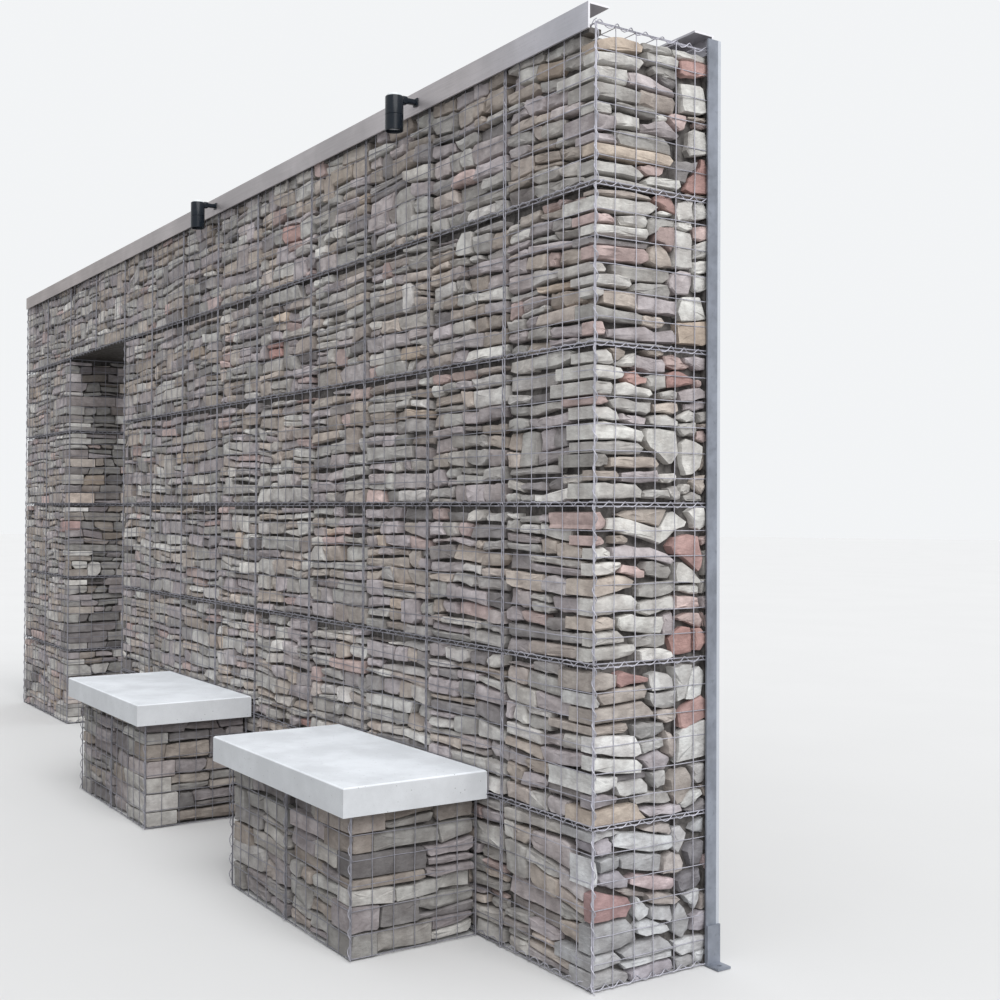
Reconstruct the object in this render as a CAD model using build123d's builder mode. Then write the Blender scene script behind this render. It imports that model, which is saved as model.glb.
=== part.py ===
from build123d import *
import os

os.makedirs("parts", exist_ok=True)

# Gabion wall: stone-filled wire baskets in six courses, with a doorway, steel copings,
# corner posts, two lamps and two benches. Millimetres, +Z up. The wall runs along X,
# its front looks along -Y, its near end is at +X, and the origin is the centre of its base.

# Baskets
cell_length = 457.2
wide_cell_length = 533.4
course_height = 457.2
wall_thickness = 457.2
course_count = 6
first_cell_count = 4
inner_cell_count = 4
edge_wire = 8.0
mesh_wire = 4.5
mesh_square = 76.2
cell_joint = 14.0
fill_chamfer = 9.0

# Doorway, and the plate that carries the top course over it
doorway_width = 1066.8
doorway_courses = 5
lintel_bearing = 152.4
lintel_thickness = 9.5

# Copings along both top edges, their cleats, and the corner posts
angle_leg = 76.2
angle_thickness = 6.35
coping_stand_off = 12.7
coping_end_inset = 19.05
cleat_size = 50.8
cleat_wall = 4.0
post_leg = 50.8
post_drop = 25.4
foot_height = 120.0
foot_reach = 50.8
anchor_hole = 14.0

# Lamps hung from the front coping
lamp_diameter = 63.5
lamp_height = 119.0
lamp_wall = 4.0
lamp_chamfer = 3.0
lamp_count = 2
lamp_stand_off = 87.3
lamp_drop = 33.0
lamp_from_end = 977.9
lamp_spacing = 1841.5
lens_recess = 12.0
lens_thickness = 4.0
lens_dome = 12.7
lens_bevel = 8.0
arm_width = 22.0
arm_drop = 39.0
arm_thickness = 6.0
arm_plate_size = 28.0

# Benches against the front of the wall
bench_length = 914.4
bench_depth = 457.2
bench_height = 444.5
cap_thickness = 88.9
cap_overhang = 50.8
cap_chamfer = 5.0
bench_from_end = 584.2
bench_spacing = 1854.2

# Cell lengths, going from the near end towards the far end
near_cells = [cell_length] * first_cell_count + [wide_cell_length] + [cell_length] * inner_cell_count
over_cells = [doorway_width / 2] * 2
far_cells = [wide_cell_length] * 2

# Planes of the wall
wall_length = sum(near_cells) + sum(over_cells) + sum(far_cells)
near_end = wall_length / 2
far_end = -near_end
near_jamb = near_end - sum(near_cells)
far_jamb = near_jamb - doorway_width
front = -wall_thickness / 2
back = wall_thickness / 2
wall_height = course_count * course_height
doorway_height = doorway_courses * course_height
fill_depth = wall_thickness - 2 * edge_wire
course_levels = [course * course_height for course in range(course_count + 1)]


def cell_lines(start, lengths):
    """The lines between cells, going from start towards the far end."""
    lines = [start]
    for length in lengths:
        lines.append(lines[-1] - length)
    return lines


near_lines = cell_lines(near_end, near_cells)
over_lines = cell_lines(near_jamb, over_cells)
far_lines = cell_lines(far_jamb, far_cells)


def wire_centres(lines):
    """Centres of the edge wires on a run of lines, with the outer two just inside the run."""
    inward = edge_wire / 2 if lines[-1] > lines[0] else -edge_wire / 2
    return [lines[0] + inward] + lines[1:-1] + [lines[-1] - inward]


def mesh_lines(start, end):
    """Mesh squares counted from start, up to the last line that is clear of end."""
    count = int((end - start - mesh_square / 2) // mesh_square)
    return [start + mesh_square * (step + 1) for step in range(count)]


def save(part, name):
    part.label = name
    export_step(part, f"parts/{name}.step")


def bar_grid(columns, rows, wire):
    """Bars on one sketch plane: columns are (x, low, high) and rows are (y, low, high)."""
    for x, low, high in columns:
        with Locations((x, (low + high) / 2)):
            Rectangle(wire, high - low)
    for y, low, high in rows:
        with Locations(((low + high) / 2, y)):
            Rectangle(high - low, wire)


def stone_fill(name, lines, bottom, top, wired_start, wired_end, rebate=None):
    """Stones of one course, a solid for each cell. A wired side lies behind edge wires."""
    with BuildPart() as fill:
        for place in range(len(lines) - 1):
            start_gap = edge_wire if wired_start and place == 0 else cell_joint / 2
            end_gap = edge_wire if wired_end and place == len(lines) - 2 else cell_joint / 2
            high_x = lines[place] - start_gap
            low_x = lines[place + 1] + end_gap
            with BuildSketch(Plane.XY.offset(bottom)):
                with Locations(((high_x + low_x) / 2, 0)):
                    Rectangle(high_x - low_x, fill_depth)
            extrude(amount=top - bottom)
        chamfer(fill.edges().filter_by(Axis.Z, reverse=True), fill_chamfer)
        if rebate:
            add(rebate, mode=Mode.SUBTRACT)
    save(fill.part, name)


def long_frame(name, inner_y, lines, levels):
    """Edge wires of one long side, on the given cell lines and levels."""
    with BuildPart() as frame:
        with BuildSketch(Plane.XZ.offset(-inner_y)):
            columns = [(x, levels[0], levels[-1]) for x in wire_centres(lines)]
            rows = [(z, lines[-1], lines[0]) for z in wire_centres(levels)]
            bar_grid(columns, rows, edge_wire)
        extrude(amount=edge_wire)
    save(frame.part, name)


def cross_frame(name, inner_x, top):
    """Edge wires across the wall at an end or a jamb, between the frames of the long sides."""
    low_y, high_y = front + edge_wire, back - edge_wire
    levels = [edge_wire / 2] + [level for level in course_levels[1:] if level < top - edge_wire]
    with BuildPart() as frame:
        with BuildSketch(Plane.YZ.offset(inner_x)):
            rows = [(z, low_y, high_y) for z in levels]
            bar_grid([(0, 0, top)], rows, edge_wire)
        extrude(amount=edge_wire)
    save(frame.part, name)


# The plate under the top course, borne on the course below at both sides
with BuildPart() as lintel:
    with BuildSketch(Plane.XY.offset(doorway_height)):
        with Locations(((near_jamb + far_jamb) / 2, 0)):
            Rectangle(doorway_width + 2 * lintel_bearing, fill_depth)
    extrude(amount=lintel_thickness)
save(lintel.part, "lintel_plate")

# Stone fill, course by course
for course in range(doorway_courses):
    low, high = course_levels[course], course_levels[course + 1]
    stone_fill(f"stone_course_{course + 1}_near", near_lines, low, high, True, True)
    stone_fill(f"stone_course_{course + 1}_far", far_lines, low, high, True, True)

top_fill = wall_height - edge_wire
stone_fill("top_course_near", near_lines, doorway_height, top_fill, True, False, lintel.part)
stone_fill("top_course_far", far_lines, doorway_height, top_fill, False, True, lintel.part)
stone_fill("top_course_over_doorway", over_lines, doorway_height + lintel_thickness, top_fill, False, False)

# Basket edge wires on the long sides
over_levels = course_levels[doorway_courses:]
for side, inner_y in (("front", front + edge_wire), ("back", back)):
    long_frame(f"{side}_frame_near", inner_y, near_lines, course_levels)
    long_frame(f"{side}_frame_far", inner_y, far_lines, course_levels)
    long_frame(f"{side}_frame_over_doorway", inner_y, over_lines, over_levels)

# Basket wires across the wall at its ends and in the doorway
cross_frame("near_end_frame", near_end - edge_wire, top_fill)
cross_frame("doorway_near_frame", near_jamb, doorway_height)
cross_frame("doorway_far_frame", far_jamb - edge_wire, doorway_height)
cross_frame("far_end_frame", far_end, top_fill)

# Lid wires between the top wires of the long sides
lid_lines = near_lines + over_lines[1:-1] + far_lines
with BuildPart() as lid_frame:
    with BuildSketch(Plane.XY.offset(top_fill)):
        cross_wires = [(x, front + edge_wire, back - edge_wire) for x in wire_centres(lid_lines)]
        bar_grid(cross_wires, [(0, far_end, near_end)], edge_wire)
    extrude(amount=edge_wire)
save(lid_frame.part, "lid_frame")

# Front coping, an angle whose upright leg hides the cleats below its top leg
coping_top = wall_height + cleat_size + angle_thickness
coping_length = wall_length - 2 * coping_end_inset
coping_face = front - coping_stand_off
with BuildPart() as front_coping:
    with BuildSketch(Plane.YZ.offset(-coping_length / 2)):
        with Locations((coping_face, coping_top)):
            Rectangle(angle_thickness, angle_leg, align=(Align.MIN, Align.MAX))
            Rectangle(angle_leg, angle_thickness, align=(Align.MIN, Align.MAX))
    extrude(amount=coping_length)
save(front_coping.part, "front_coping")

# A cleat of square tube in the middle of each cell, standing on the top wires
all_lines = near_lines + over_lines[1:] + far_lines[1:]
cleat_places = [(all_lines[i] + all_lines[i + 1]) / 2 for i in range(len(all_lines) - 1)]
cleat_y = coping_face + angle_thickness + cleat_size / 2
with BuildPart() as front_cleats:
    with BuildSketch(Plane.XZ.offset(-cleat_y - cleat_size / 2)):
        with Locations([(x, wall_height + cleat_size / 2) for x in cleat_places]):
            Rectangle(cleat_size, cleat_size)
            inner = cleat_size - 2 * cleat_wall
            Rectangle(inner, inner, mode=Mode.SUBTRACT)
    extrude(amount=cleat_size)
save(front_cleats.part, "front_coping_cleats")

for source, name in ((front_coping, "back_coping"), (front_cleats, "back_coping_cleats")):
    with BuildPart() as mirrored:
        add(source.part)
        mirror(about=Plane.XZ, mode=Mode.REPLACE)
    save(mirrored.part, name)

# Corner posts at the back of both ends, angles round the coping and the baskets
post_top = coping_top - post_drop
post_back = back + coping_stand_off + angle_thickness
with BuildPart() as near_post:
    with BuildSketch(Plane.XY):
        with Locations((near_end + angle_thickness, post_back)):
            Rectangle(angle_thickness, post_leg, align=(Align.MAX, Align.MAX))
            Rectangle(post_leg, angle_thickness, align=(Align.MAX, Align.MAX))
    extrude(amount=post_top)
save(near_post.part, "near_end_post")

with BuildPart() as far_post:
    add(near_post.part)
    mirror(about=Plane.YZ, mode=Mode.REPLACE)
save(far_post.part, "far_end_post")

# Foot angles at the bottom of the posts, each with a hole for its anchor
foot_face = near_end + angle_thickness
foot_middle = post_back - post_leg / 2
with BuildPart() as post_feet:
    with BuildSketch(Plane.XZ.offset(-post_back)):
        with Locations((foot_face, 0)):
            Rectangle(angle_thickness, foot_height, align=(Align.MIN, Align.MIN))
            Rectangle(foot_reach, angle_thickness, align=(Align.MIN, Align.MIN))
    extrude(amount=post_leg)
    with Locations((foot_face + (foot_reach + angle_thickness) / 2, foot_middle, angle_thickness)):
        Hole(anchor_hole / 2, depth=angle_thickness)
    mirror(about=Plane.YZ)
save(post_feet.part, "post_feet")

# Lamps, each a housing with a recessed lens below and a raised one on top, on an arm with
# a plate against the coping
lamp_y = coping_face - lamp_stand_off
lamp_top = coping_top - lamp_drop
lamp_bottom = lamp_top - lamp_height
lamp_radius = lamp_diameter / 2
lamp_places = [near_end - lamp_from_end - lamp_spacing * place for place in range(lamp_count)]

with BuildPart() as lamp_bodies:
    with BuildSketch(Plane.XY.offset(lamp_bottom)):
        with Locations([(x, lamp_y) for x in lamp_places]):
            Circle(lamp_radius)
    extrude(amount=lamp_height)
    chamfer(lamp_bodies.faces().group_by(Axis.Z)[-1].edges(), lamp_chamfer)

with BuildPart() as lamp_housings:
    add(lamp_bodies.part)
    with BuildSketch(Plane.XY.offset(lamp_bottom)):
        with Locations([(x, lamp_y) for x in lamp_places]):
            Circle(lamp_radius - lamp_wall)
    extrude(amount=lens_recess + lens_thickness, mode=Mode.SUBTRACT)
save(lamp_housings.part, "lamp_housings")

with BuildPart() as lamp_lenses:
    with BuildSketch(Plane.XY.offset(lamp_bottom + lens_recess)):
        with Locations([(x, lamp_y) for x in lamp_places]):
            Circle(lamp_radius - lamp_wall)
    extrude(amount=lens_thickness)
    with BuildSketch(Plane.XY.offset(lamp_top)):
        with Locations([(x, lamp_y) for x in lamp_places]):
            Circle(lamp_radius - lamp_wall)
    extrude(amount=lens_dome)
    chamfer(lamp_lenses.faces().group_by(Axis.Z)[-1].edges(), lens_bevel)
save(lamp_lenses.part, "lamp_lenses")

with BuildPart() as lamp_arms:
    with BuildSketch(Plane.XZ.offset(-coping_face)):
        with Locations([(x, coping_top - arm_drop) for x in lamp_places]):
            Rectangle(arm_plate_size, arm_plate_size)
    extrude(amount=arm_thickness)
    with BuildSketch(Plane.XY.offset(coping_top - arm_drop - arm_thickness / 2)):
        with Locations([(x, coping_face) for x in lamp_places]):
            Rectangle(arm_width, lamp_stand_off, align=(Align.CENTER, Align.MAX))
    extrude(amount=arm_thickness)
    add(lamp_bodies.part, mode=Mode.SUBTRACT)
save(lamp_arms.part, "lamp_arms")


def bench(name, high_x):
    """A bench: its stones, the meshed basket round them and the cap on top."""
    low_x = high_x - bench_length
    middle_x = (high_x + low_x) / 2
    bench_front = front - bench_depth
    with BuildPart() as stones:
        with BuildSketch():
            with Locations((middle_x, front - bench_depth / 2)):
                Rectangle(bench_length - 2 * edge_wire, bench_depth - 2 * edge_wire)
        extrude(amount=bench_height)
        chamfer(stones.edges().filter_by(Axis.Z, reverse=True), fill_chamfer)
    save(stones.part, f"{name}_bench_stones")

    rows = mesh_lines(0, bench_height)
    end_rows = [edge_wire / 2, bench_height - edge_wire / 2]
    with BuildPart() as basket:
        with BuildSketch(Plane.XZ.offset(-bench_front - edge_wire)):
            edges = [(x, 0, bench_height) for x in wire_centres([high_x, low_x])]
            bar_grid(edges, [(z, low_x, high_x) for z in end_rows], edge_wire)
        extrude(amount=edge_wire)
        with BuildSketch(Plane.XZ.offset(-bench_front - mesh_wire)):
            columns = [(x, 0, bench_height) for x in mesh_lines(low_x, high_x)]
            bar_grid(columns, [(z, low_x, high_x) for z in rows], mesh_wire)
        extrude(amount=mesh_wire)
        for outer_x, inward in ((high_x, -1), (low_x, 1)):
            with BuildSketch(Plane.YZ.offset(outer_x)):
                edges = [(y, 0, bench_height) for y in wire_centres([bench_front, front])]
                bar_grid(edges, [(z, bench_front, front) for z in end_rows], edge_wire)
            extrude(amount=inward * edge_wire)
            with BuildSketch(Plane.YZ.offset(outer_x)):
                columns = [(y, 0, bench_height) for y in mesh_lines(bench_front, front)]
                bar_grid(columns, [(z, bench_front, front) for z in rows], mesh_wire)
            extrude(amount=inward * mesh_wire)
    save(basket.part, f"{name}_bench_basket")

    with BuildPart() as cap:
        with BuildSketch(Plane.XY.offset(bench_height)):
            with Locations((middle_x, front)):
                cap_size = (bench_length + 2 * cap_overhang, bench_depth + cap_overhang)
                Rectangle(*cap_size, align=(Align.CENTER, Align.MAX))
        extrude(amount=cap_thickness)
        chamfer(cap.faces().sort_by(Axis.Z)[-1].edges(), cap_chamfer)
    save(cap.part, f"{name}_bench_cap")


for place, name in enumerate(("near", "far")):
    bench(name, near_end - bench_from_end - place * bench_spacing)
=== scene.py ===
"""The looks of a gabion wall with a doorway, copings, lamps and two benches, around its CAD frame."""

import math

import bpy
import numpy as np
from bpy.props import FloatProperty, FloatVectorProperty, IntProperty, PointerProperty
from mathutils import Euler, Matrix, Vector


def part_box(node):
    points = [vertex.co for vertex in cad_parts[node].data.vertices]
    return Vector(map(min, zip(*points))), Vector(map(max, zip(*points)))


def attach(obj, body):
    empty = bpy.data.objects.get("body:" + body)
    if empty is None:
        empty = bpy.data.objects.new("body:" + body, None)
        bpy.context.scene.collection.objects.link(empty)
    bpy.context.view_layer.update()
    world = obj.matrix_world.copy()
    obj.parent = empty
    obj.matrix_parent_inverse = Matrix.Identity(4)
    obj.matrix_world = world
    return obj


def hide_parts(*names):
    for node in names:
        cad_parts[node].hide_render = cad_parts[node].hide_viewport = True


bl_info = {
    "name": "Gabion Wall",
    "version": (1, 0, 0),
    "blender": (4, 5, 0),
    "location": "View3D > Sidebar > Gabion",
    "description": "Stones, mesh, binders, copings, lamps and bench caps of a gabion wall",
    "category": "Add Mesh",
}

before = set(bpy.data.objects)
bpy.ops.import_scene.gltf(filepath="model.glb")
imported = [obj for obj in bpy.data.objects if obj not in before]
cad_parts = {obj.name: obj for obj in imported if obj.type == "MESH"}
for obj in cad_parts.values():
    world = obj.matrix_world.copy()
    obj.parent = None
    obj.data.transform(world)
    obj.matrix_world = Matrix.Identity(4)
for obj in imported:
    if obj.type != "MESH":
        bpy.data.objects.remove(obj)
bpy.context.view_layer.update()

# The wall's planes, taken from the frame
NEAR_LOW, NEAR_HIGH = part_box("front_frame_near")
FAR_LOW, FAR_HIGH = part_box("front_frame_far")
NEAR_END, NEAR_JAMB = NEAR_HIGH.x, NEAR_LOW.x
FAR_JAMB, FAR_END = FAR_HIGH.x, FAR_LOW.x
FRONT, BACK = NEAR_LOW.y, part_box("back_frame_near")[1].y
THICKNESS = BACK - FRONT
WALL_TOP = NEAR_HIGH.z
COURSES = 6
DOOR_COURSES = 5
COURSE = WALL_TOP / COURSES
LINTEL_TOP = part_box("lintel_plate")[1].z
# The long sides, and the ends of the baskets: where they lie, which way they face, the ends' courses
LONG_SIDES = (("front", FRONT, -1), ("back", BACK, 1))
END_FACES = (
    (NEAR_END, 1, COURSES),
    (NEAR_JAMB, -1, DOOR_COURSES),
    (FAR_JAMB, 1, DOOR_COURSES),
    (FAR_END, -1, COURSES),
)
UP = np.array([0.0, 0.0, 1.0])


def cell_lines(start, lengths):
    """X of the lines between cells, going from start towards the far end."""
    lines = [start]
    for length in lengths:
        lines.append(lines[-1] - length)
    return lines


# Lines between the cells, which are six or seven squares of mesh long, as the frame has them
CELL, WIDE_CELL = 0.4572, 0.5334
NEAR_LINES = cell_lines(NEAR_END, [CELL] * 4 + [WIDE_CELL] + [CELL] * 4)
OVER_LINES = cell_lines(NEAR_JAMB, [WIDE_CELL] * 2)
FAR_LINES = cell_lines(FAR_JAMB, [WIDE_CELL] * 2)
# All cells of a long side: the X of their two ends, and their first course
CELLS = [
    (high, low, first)
    for lines, first in ((NEAR_LINES, 0), (OVER_LINES, DOOR_COURSES), (FAR_LINES, 0))
    for high, low in zip(lines[:-1], lines[1:])
]

# Shares of the colours among the stones that rules lay. The benches have only the first five
STONE_SHARES = (
    ("grey", 0.31), ("mauve", 0.23), ("brown", 0.22), ("pale", 0.13),
    ("dark", 0.06), ("buff", 0.012), ("pink", 0.036), ("red", 0.002),
)
BENCH_SHARES = STONE_SHARES[:5]
# Single stones of the front: distance from the near end, height, colour
FRONT_STONES = (
    (2.10, 2.475, "red"), (2.21, 2.04, "red"), (2.74, 2.05, "pink"), (2.87, 1.80, "pink"),
    (0.82, 1.79, "pink"), (0.08, 1.32, "red"), (0.22, 2.69, "buff"),
)
# A stone on the near side of the far bench
BENCH_STONE = (0.07, 0.35, "red")
# Tones of the near end's stones in the two lowest courses and above. The two lowest are painted shade,
# darker and cooler towards the ground
END_SHADE_TONES = np.array([(0.87, 0.90, 0.96), (0.94, 0.955, 0.98), (1.0, 1.0, 1.0)])
# Tones of the front's stones near the near end and beyond PLAIN_FROM, where stones are plainer too
FRONT_TONES = (1.12, 1.03)
PLAIN_FROM = 0.5
# Tones of the stones of the doorway and the benches, and how large the benches' stones are. The doorway's
# tone is painted shade on its far side
REVEAL_SHADE, BENCH_TONE, BENCH_SIZE = 0.80, 0.76, 1.28
# Stones lie at least CLEAR behind the face of their basket, where the wires are, and usually FACE
CLEAR, FACE = 0.0052, 0.0056
# Depth of the rubble behind the stones, and behind those of a far corner as far as CORNER_FILL from it
CORE_INSET, CORNER_INSET, CORNER_FILL = 0.046, 0.010, 0.07
# Points round a stone's face, and round a plainer one's
OUTLINE, PLAIN_OUTLINE = 12, 10
# The longest chip off a stone's corners where it turns a corner of the wall
FLUSH_CHIP = 0.003
# Materials of the stones and of the rubble behind them, whose dark colour is painted shade
STONE_FINISH = ("split_stone", "painted_shade_rubble")

# Wires lie this far behind the face, and edge wires this far from the edge of their panel
WIRE_DEPTH, EDGE = 0.0030, 0.0052
# How far edge wires and mesh wires stray: in depth, sideways as a whole, sideways along their length
EDGE_STRAY, MESH_STRAY = (0.0006, 0.0004, 0.0003), (0.0013, 0.0012, 0.0007)
# Heights of the lowest and highest binders, the highest one below the top
FIRST_BINDER, LAST_BINDER = 0.012, 0.004
# Sides of a plain wire and of a rounder one: on the ends, the benches, and the front above X of ROUND_FROM
WIRE_SIDES, ROUND_SIDES, ROUND_FROM = 4, 5, 1.0
# Steps in a turn of a binder and sides of its wire, where it shows well and elsewhere
FINE_COIL, PLAIN_COIL = (8, 4), (6, 3)
# Starts of the random draws of the mesh and the binders
MESH_SEED, BINDER_SEED = 31, 53
# Radians in one turn of a binder, and the most that its start is turned
TURN, MOST_START = 6.283, 6.28

# The camera, fitted to the photo's perspective
CAMERA_PLACE = (5.9995, -2.4827, 1.3574)
CAMERA_AIM = (-0.8392, 0.5437, 0.0154)
CAMERA_ROLL = 0.0054
LENS, SENSOR, SHIFT = 46.16, 36.0, (0.030, -0.0112)
# The broad light's tilt, turn and spread in degrees
SUN_TILT, SUN_TURN, SUN_SPREAD = 50.0, 76.0, 50.0
# The backdrop's brightness as the camera sees it, and the tint of the soft light
BACKDROP, SKY_TINT = 0.92, (0.97, 0.985, 1.0)


def metres(name, description, default):
    """A length among the settings."""
    return FloatProperty(name=name, description=description, default=default, unit="LENGTH")


def paint(name, description, default):
    """A colour among the settings."""
    return FloatVectorProperty(name=name, description=description, default=default, subtype="COLOR")


class StoneSettings(bpy.types.PropertyGroup):
    """Sizes and colours of the stones."""

    length: metres("Length", "Usual length of a stone's face", 0.132)
    row: metres("Row", "Usual height of a row of stones", 0.049)
    gap: metres("Gap", "Usual dark gap between stones", 0.0066)
    reach: metres("Reach", "Depth of a stone into the basket", 0.085)
    seed: IntProperty(name="Seed", description="Start of the random draws", default=7)
    grey: paint("Grey", "Common grey stone", (0.415, 0.405, 0.392))
    mauve: paint("Mauve", "Mauve-grey stone", (0.41, 0.375, 0.388))
    brown: paint("Brown", "Brown-grey stone", (0.42, 0.372, 0.335))
    pale: paint("Pale", "Pale stone", (0.59, 0.58, 0.56))
    dark: paint("Dark", "Dark stone", (0.235, 0.222, 0.225))
    buff: paint("Buff", "Yellowish stone", (0.51, 0.43, 0.36))
    pink: paint("Pink", "Pinkish stone", (0.49, 0.385, 0.37))
    red: paint("Red", "Red stone", (0.425, 0.27, 0.25))
    white: paint("White", "Whitish stone", (0.6, 0.595, 0.575))


class WireSettings(bpy.types.PropertyGroup):
    """Sizes and colour of the baskets' wires."""

    square: metres("Square", "Mesh square", 0.0762)
    mesh_radius: metres("Mesh wire", "Radius of a mesh wire", 0.0015)
    edge_radius: metres("Edge wire", "Radius of a panel's edge wire", 0.0021)
    binder_radius: metres("Binder wire", "Radius of the coiled wire", 0.0017)
    coil_radius: metres("Coil", "Radius of the coil at the joints", 0.0080)
    pitch: metres("Pitch", "Length of one turn of the coil", 0.06)
    zinc: paint("Zinc", "Colour of the wires", (0.47, 0.465, 0.52))


class SteelSettings(bpy.types.PropertyGroup):
    """Colours of the copings, posts and lintel."""

    coping: paint("Coping", "Coping steel", (0.442, 0.416, 0.425))
    post: paint("Post", "Galvanised steel", (0.255, 0.275, 0.32))
    # A painted highlight where light catches the posts' rounded outer corner
    post_highlight: paint("Post edge", "Bright edge of a post", (0.55, 0.58, 0.63))
    # Much darker than bare steel: painted shade under the doorway's top
    lintel: paint("Lintel", "Plate over the doorway", (0.030, 0.026, 0.022))


class LampSettings(bpy.types.PropertyGroup):
    """Colours of the lamps."""

    # Partly the housing's own black, partly a painted reflection: lifted and tinted blue
    black: paint("Black", "Lamp housing", (0.010, 0.0145, 0.021))
    glass: paint("Glass", "Lamp lens", (0.75, 0.78, 0.80))


class CapSettings(bpy.types.PropertyGroup):
    """Colour of the bench caps."""

    # Pale grey, tinted blue with painted light of the sky
    concrete: paint("Concrete", "Cast cap", (0.82, 0.855, 0.90))


class StageSettings(bpy.types.PropertyGroup):
    """Floor and light."""

    floor: paint("Floor", "Floor colour", (0.72, 0.72, 0.72))
    sky: FloatProperty(name="Sky", description="Strength of the soft light all round", default=0.78)
    sun: FloatProperty(name="Sun", description="Strength of the broad light", default=2.3)


# Materials


def toned(colour, factor):
    """A colour, made darker or lighter."""
    return tuple(min(1.0, c * factor) for c in colour)


class Nodes:
    """The node tree of a material or the world, built up one node at a time."""

    def __init__(self, owner, shader):
        owner.use_nodes = True
        self.owner, self.tree = owner, owner.node_tree
        self.shader = self.tree.nodes[shader]

    def feed(self, socket, value):
        """Links a socket to an output, or sets its value."""
        if isinstance(value, bpy.types.NodeSocket):
            self.tree.links.new(value, socket)
        else:
            socket.default_value = (*value, 1.0) if socket.type == "RGBA" else value

    def node(self, kind, *sources, **values):
        """A new node. sources feed its first inputs, values its properties or the inputs of that name."""
        made = self.tree.nodes.new(kind)
        for key, value in values.items():
            if hasattr(made, key):
                setattr(made, key, value)
            else:
                self.feed(made.inputs[key.replace("_", " ")], value)
        for socket, value in zip(made.inputs, sources):
            self.feed(socket, value)
        return made

    def noise(self, vector, scale, detail=3.0, rough=0.55):
        """A noise from 0 to 1, about 0.5."""
        sizes = {"Scale": scale, "Detail": detail, "Roughness": rough}
        return self.node("ShaderNodeTexNoise", Vector=vector, **sizes).outputs["Fac"]

    def stretched(self, vector, scale):
        """A vector, scaled along each axis."""
        return self.node("ShaderNodeMapping", Vector=vector, Scale=scale).outputs["Vector"]

    def parts(self, vector):
        """The three parts of a vector."""
        return self.node("ShaderNodeSeparateXYZ", vector).outputs

    def ramp(self, value, low, high, start=0.0, end=1.0):
        """value from low to high mapped to start to end, smoothly."""
        ends = {"From_Min": low, "From_Max": high, "To_Min": start, "To_Max": end}
        made = self.node("ShaderNodeMapRange", interpolation_type="SMOOTHSTEP", Value=value, **ends)
        return made.outputs["Result"]

    def math(self, operation, *values):
        return self.node("ShaderNodeMath", *values, operation=operation).outputs[0]

    def mix(self, factor, first, second, blend="MIX"):
        """Mixes two colours. Each is a colour or a socket."""
        made = self.node("ShaderNodeMix", data_type="RGBA", blend_type=blend)
        for name, value in (("Factor_Float", factor), ("A_Color", first), ("B_Color", second)):
            self.feed(next(s for s in made.inputs if s.identifier == name), value)
        return next(s for s in made.outputs if s.identifier == "Result_Color")

    def times(self, base, tones):
        return self.mix(1.0, base, tones, "MULTIPLY")

    def patch(self, base, value, low, high, other, share=1.0):
        """base, turning into another colour where value goes from low to high, by a share."""
        return self.mix(self.ramp(value, low, high, 0.0, share), base, other)

    def tint(self, base, value, low, high, tones, share=1.0):
        """base, multiplied by tones where value goes from low to high, by a share."""
        return self.patch(base, value, low, high, self.times(base, tones), share)

    def bump(self, height, strength, distance, below=None):
        """A bump, on its own or on top of another one."""
        over = {"Normal": below} if below else {}
        made = self.node("ShaderNodeBump", Height=height, Strength=strength, Distance=distance, **over)
        return made.outputs["Normal"]

    def direct_rays(self):
        """1 for rays that show a thing to the camera, 0 for those that only light."""
        path = self.node("ShaderNodeLightPath").outputs
        seen = self.math("MAXIMUM", path["Is Camera Ray"], path["Is Glossy Ray"])
        return self.math("MAXIMUM", seen, path["Is Transmission Ray"])

    def finish(self, **values):
        """Feeds the shader, and gives what the nodes belong to."""
        for key, value in values.items():
            self.feed(self.shader.inputs[key.replace("_", " ")], value)
        return self.owner


def recipe(name):
    """A new material's nodes, and its object coordinates in metres."""
    r = Nodes(bpy.data.materials.new(name), "Principled BSDF")
    return r, r.node("ShaderNodeTexCoord").outputs["Object"]


def stone_material():
    """Rough split stone: each stone's own colour, mottled, layered and grained."""
    r, place = recipe("split_stone")
    own = r.node("ShaderNodeAttribute", attribute_name="stone_colour").outputs["Color"]
    shift = r.node("ShaderNodeAttribute", attribute_name="stone_shift").outputs["Vector"]
    moved = r.node("ShaderNodeVectorMath", place, shift, operation="ADD").outputs["Vector"]
    flat = r.stretched(moved, (1.0, 1.0, 2.2))
    cloud = r.noise(moved, 16.0, 4.0, 0.6)
    layers = r.noise(flat, 30.0, 4.0, 0.65)
    grain = r.noise(moved, 420.0, 2.0, 0.6)
    chips = r.noise(flat, 55.0, 4.0, 0.62)
    dull, bright = r.times(own, (0.84, 0.82, 0.81)), r.times(own, (1.16, 1.16, 1.15))
    base = r.mix(r.ramp(cloud, 0.36, 0.66), dull, bright)
    base = r.tint(base, layers, 0.46, 0.64, (1.40, 1.39, 1.37), 0.30)
    base = r.tint(base, layers, 0.44, 0.32, (0.62, 0.60, 0.59), 0.28)
    base = r.tint(base, grain, 0.60, 0.75, (1.4, 1.4, 1.4), 0.25)
    base = r.tint(base, grain, 0.42, 0.30, (0.6, 0.59, 0.58), 0.30)
    return r.finish(
        Base_Color=base,
        Roughness=r.ramp(cloud, 0.3, 0.7, 0.82, 0.96),
        Specular_IOR_Level=0.25,
        Normal=r.bump(grain, 0.30, 0.0010, r.bump(chips, 0.7, 0.0045)),
    )


def core_material():
    """The stones deeper in the basket, in dark colours that paint their shade."""
    r, place = recipe("painted_shade_rubble")
    shade = r.noise(place, 30.0)
    return r.finish(
        Base_Color=r.mix(r.ramp(shade, 0.35, 0.65), (0.072, 0.066, 0.064), (0.168, 0.157, 0.15)),
        Roughness=r.ramp(shade, 0.3, 0.7, 0.9, 1.0),
        Normal=r.bump(shade, 1.0, 0.01),
    )


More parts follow.
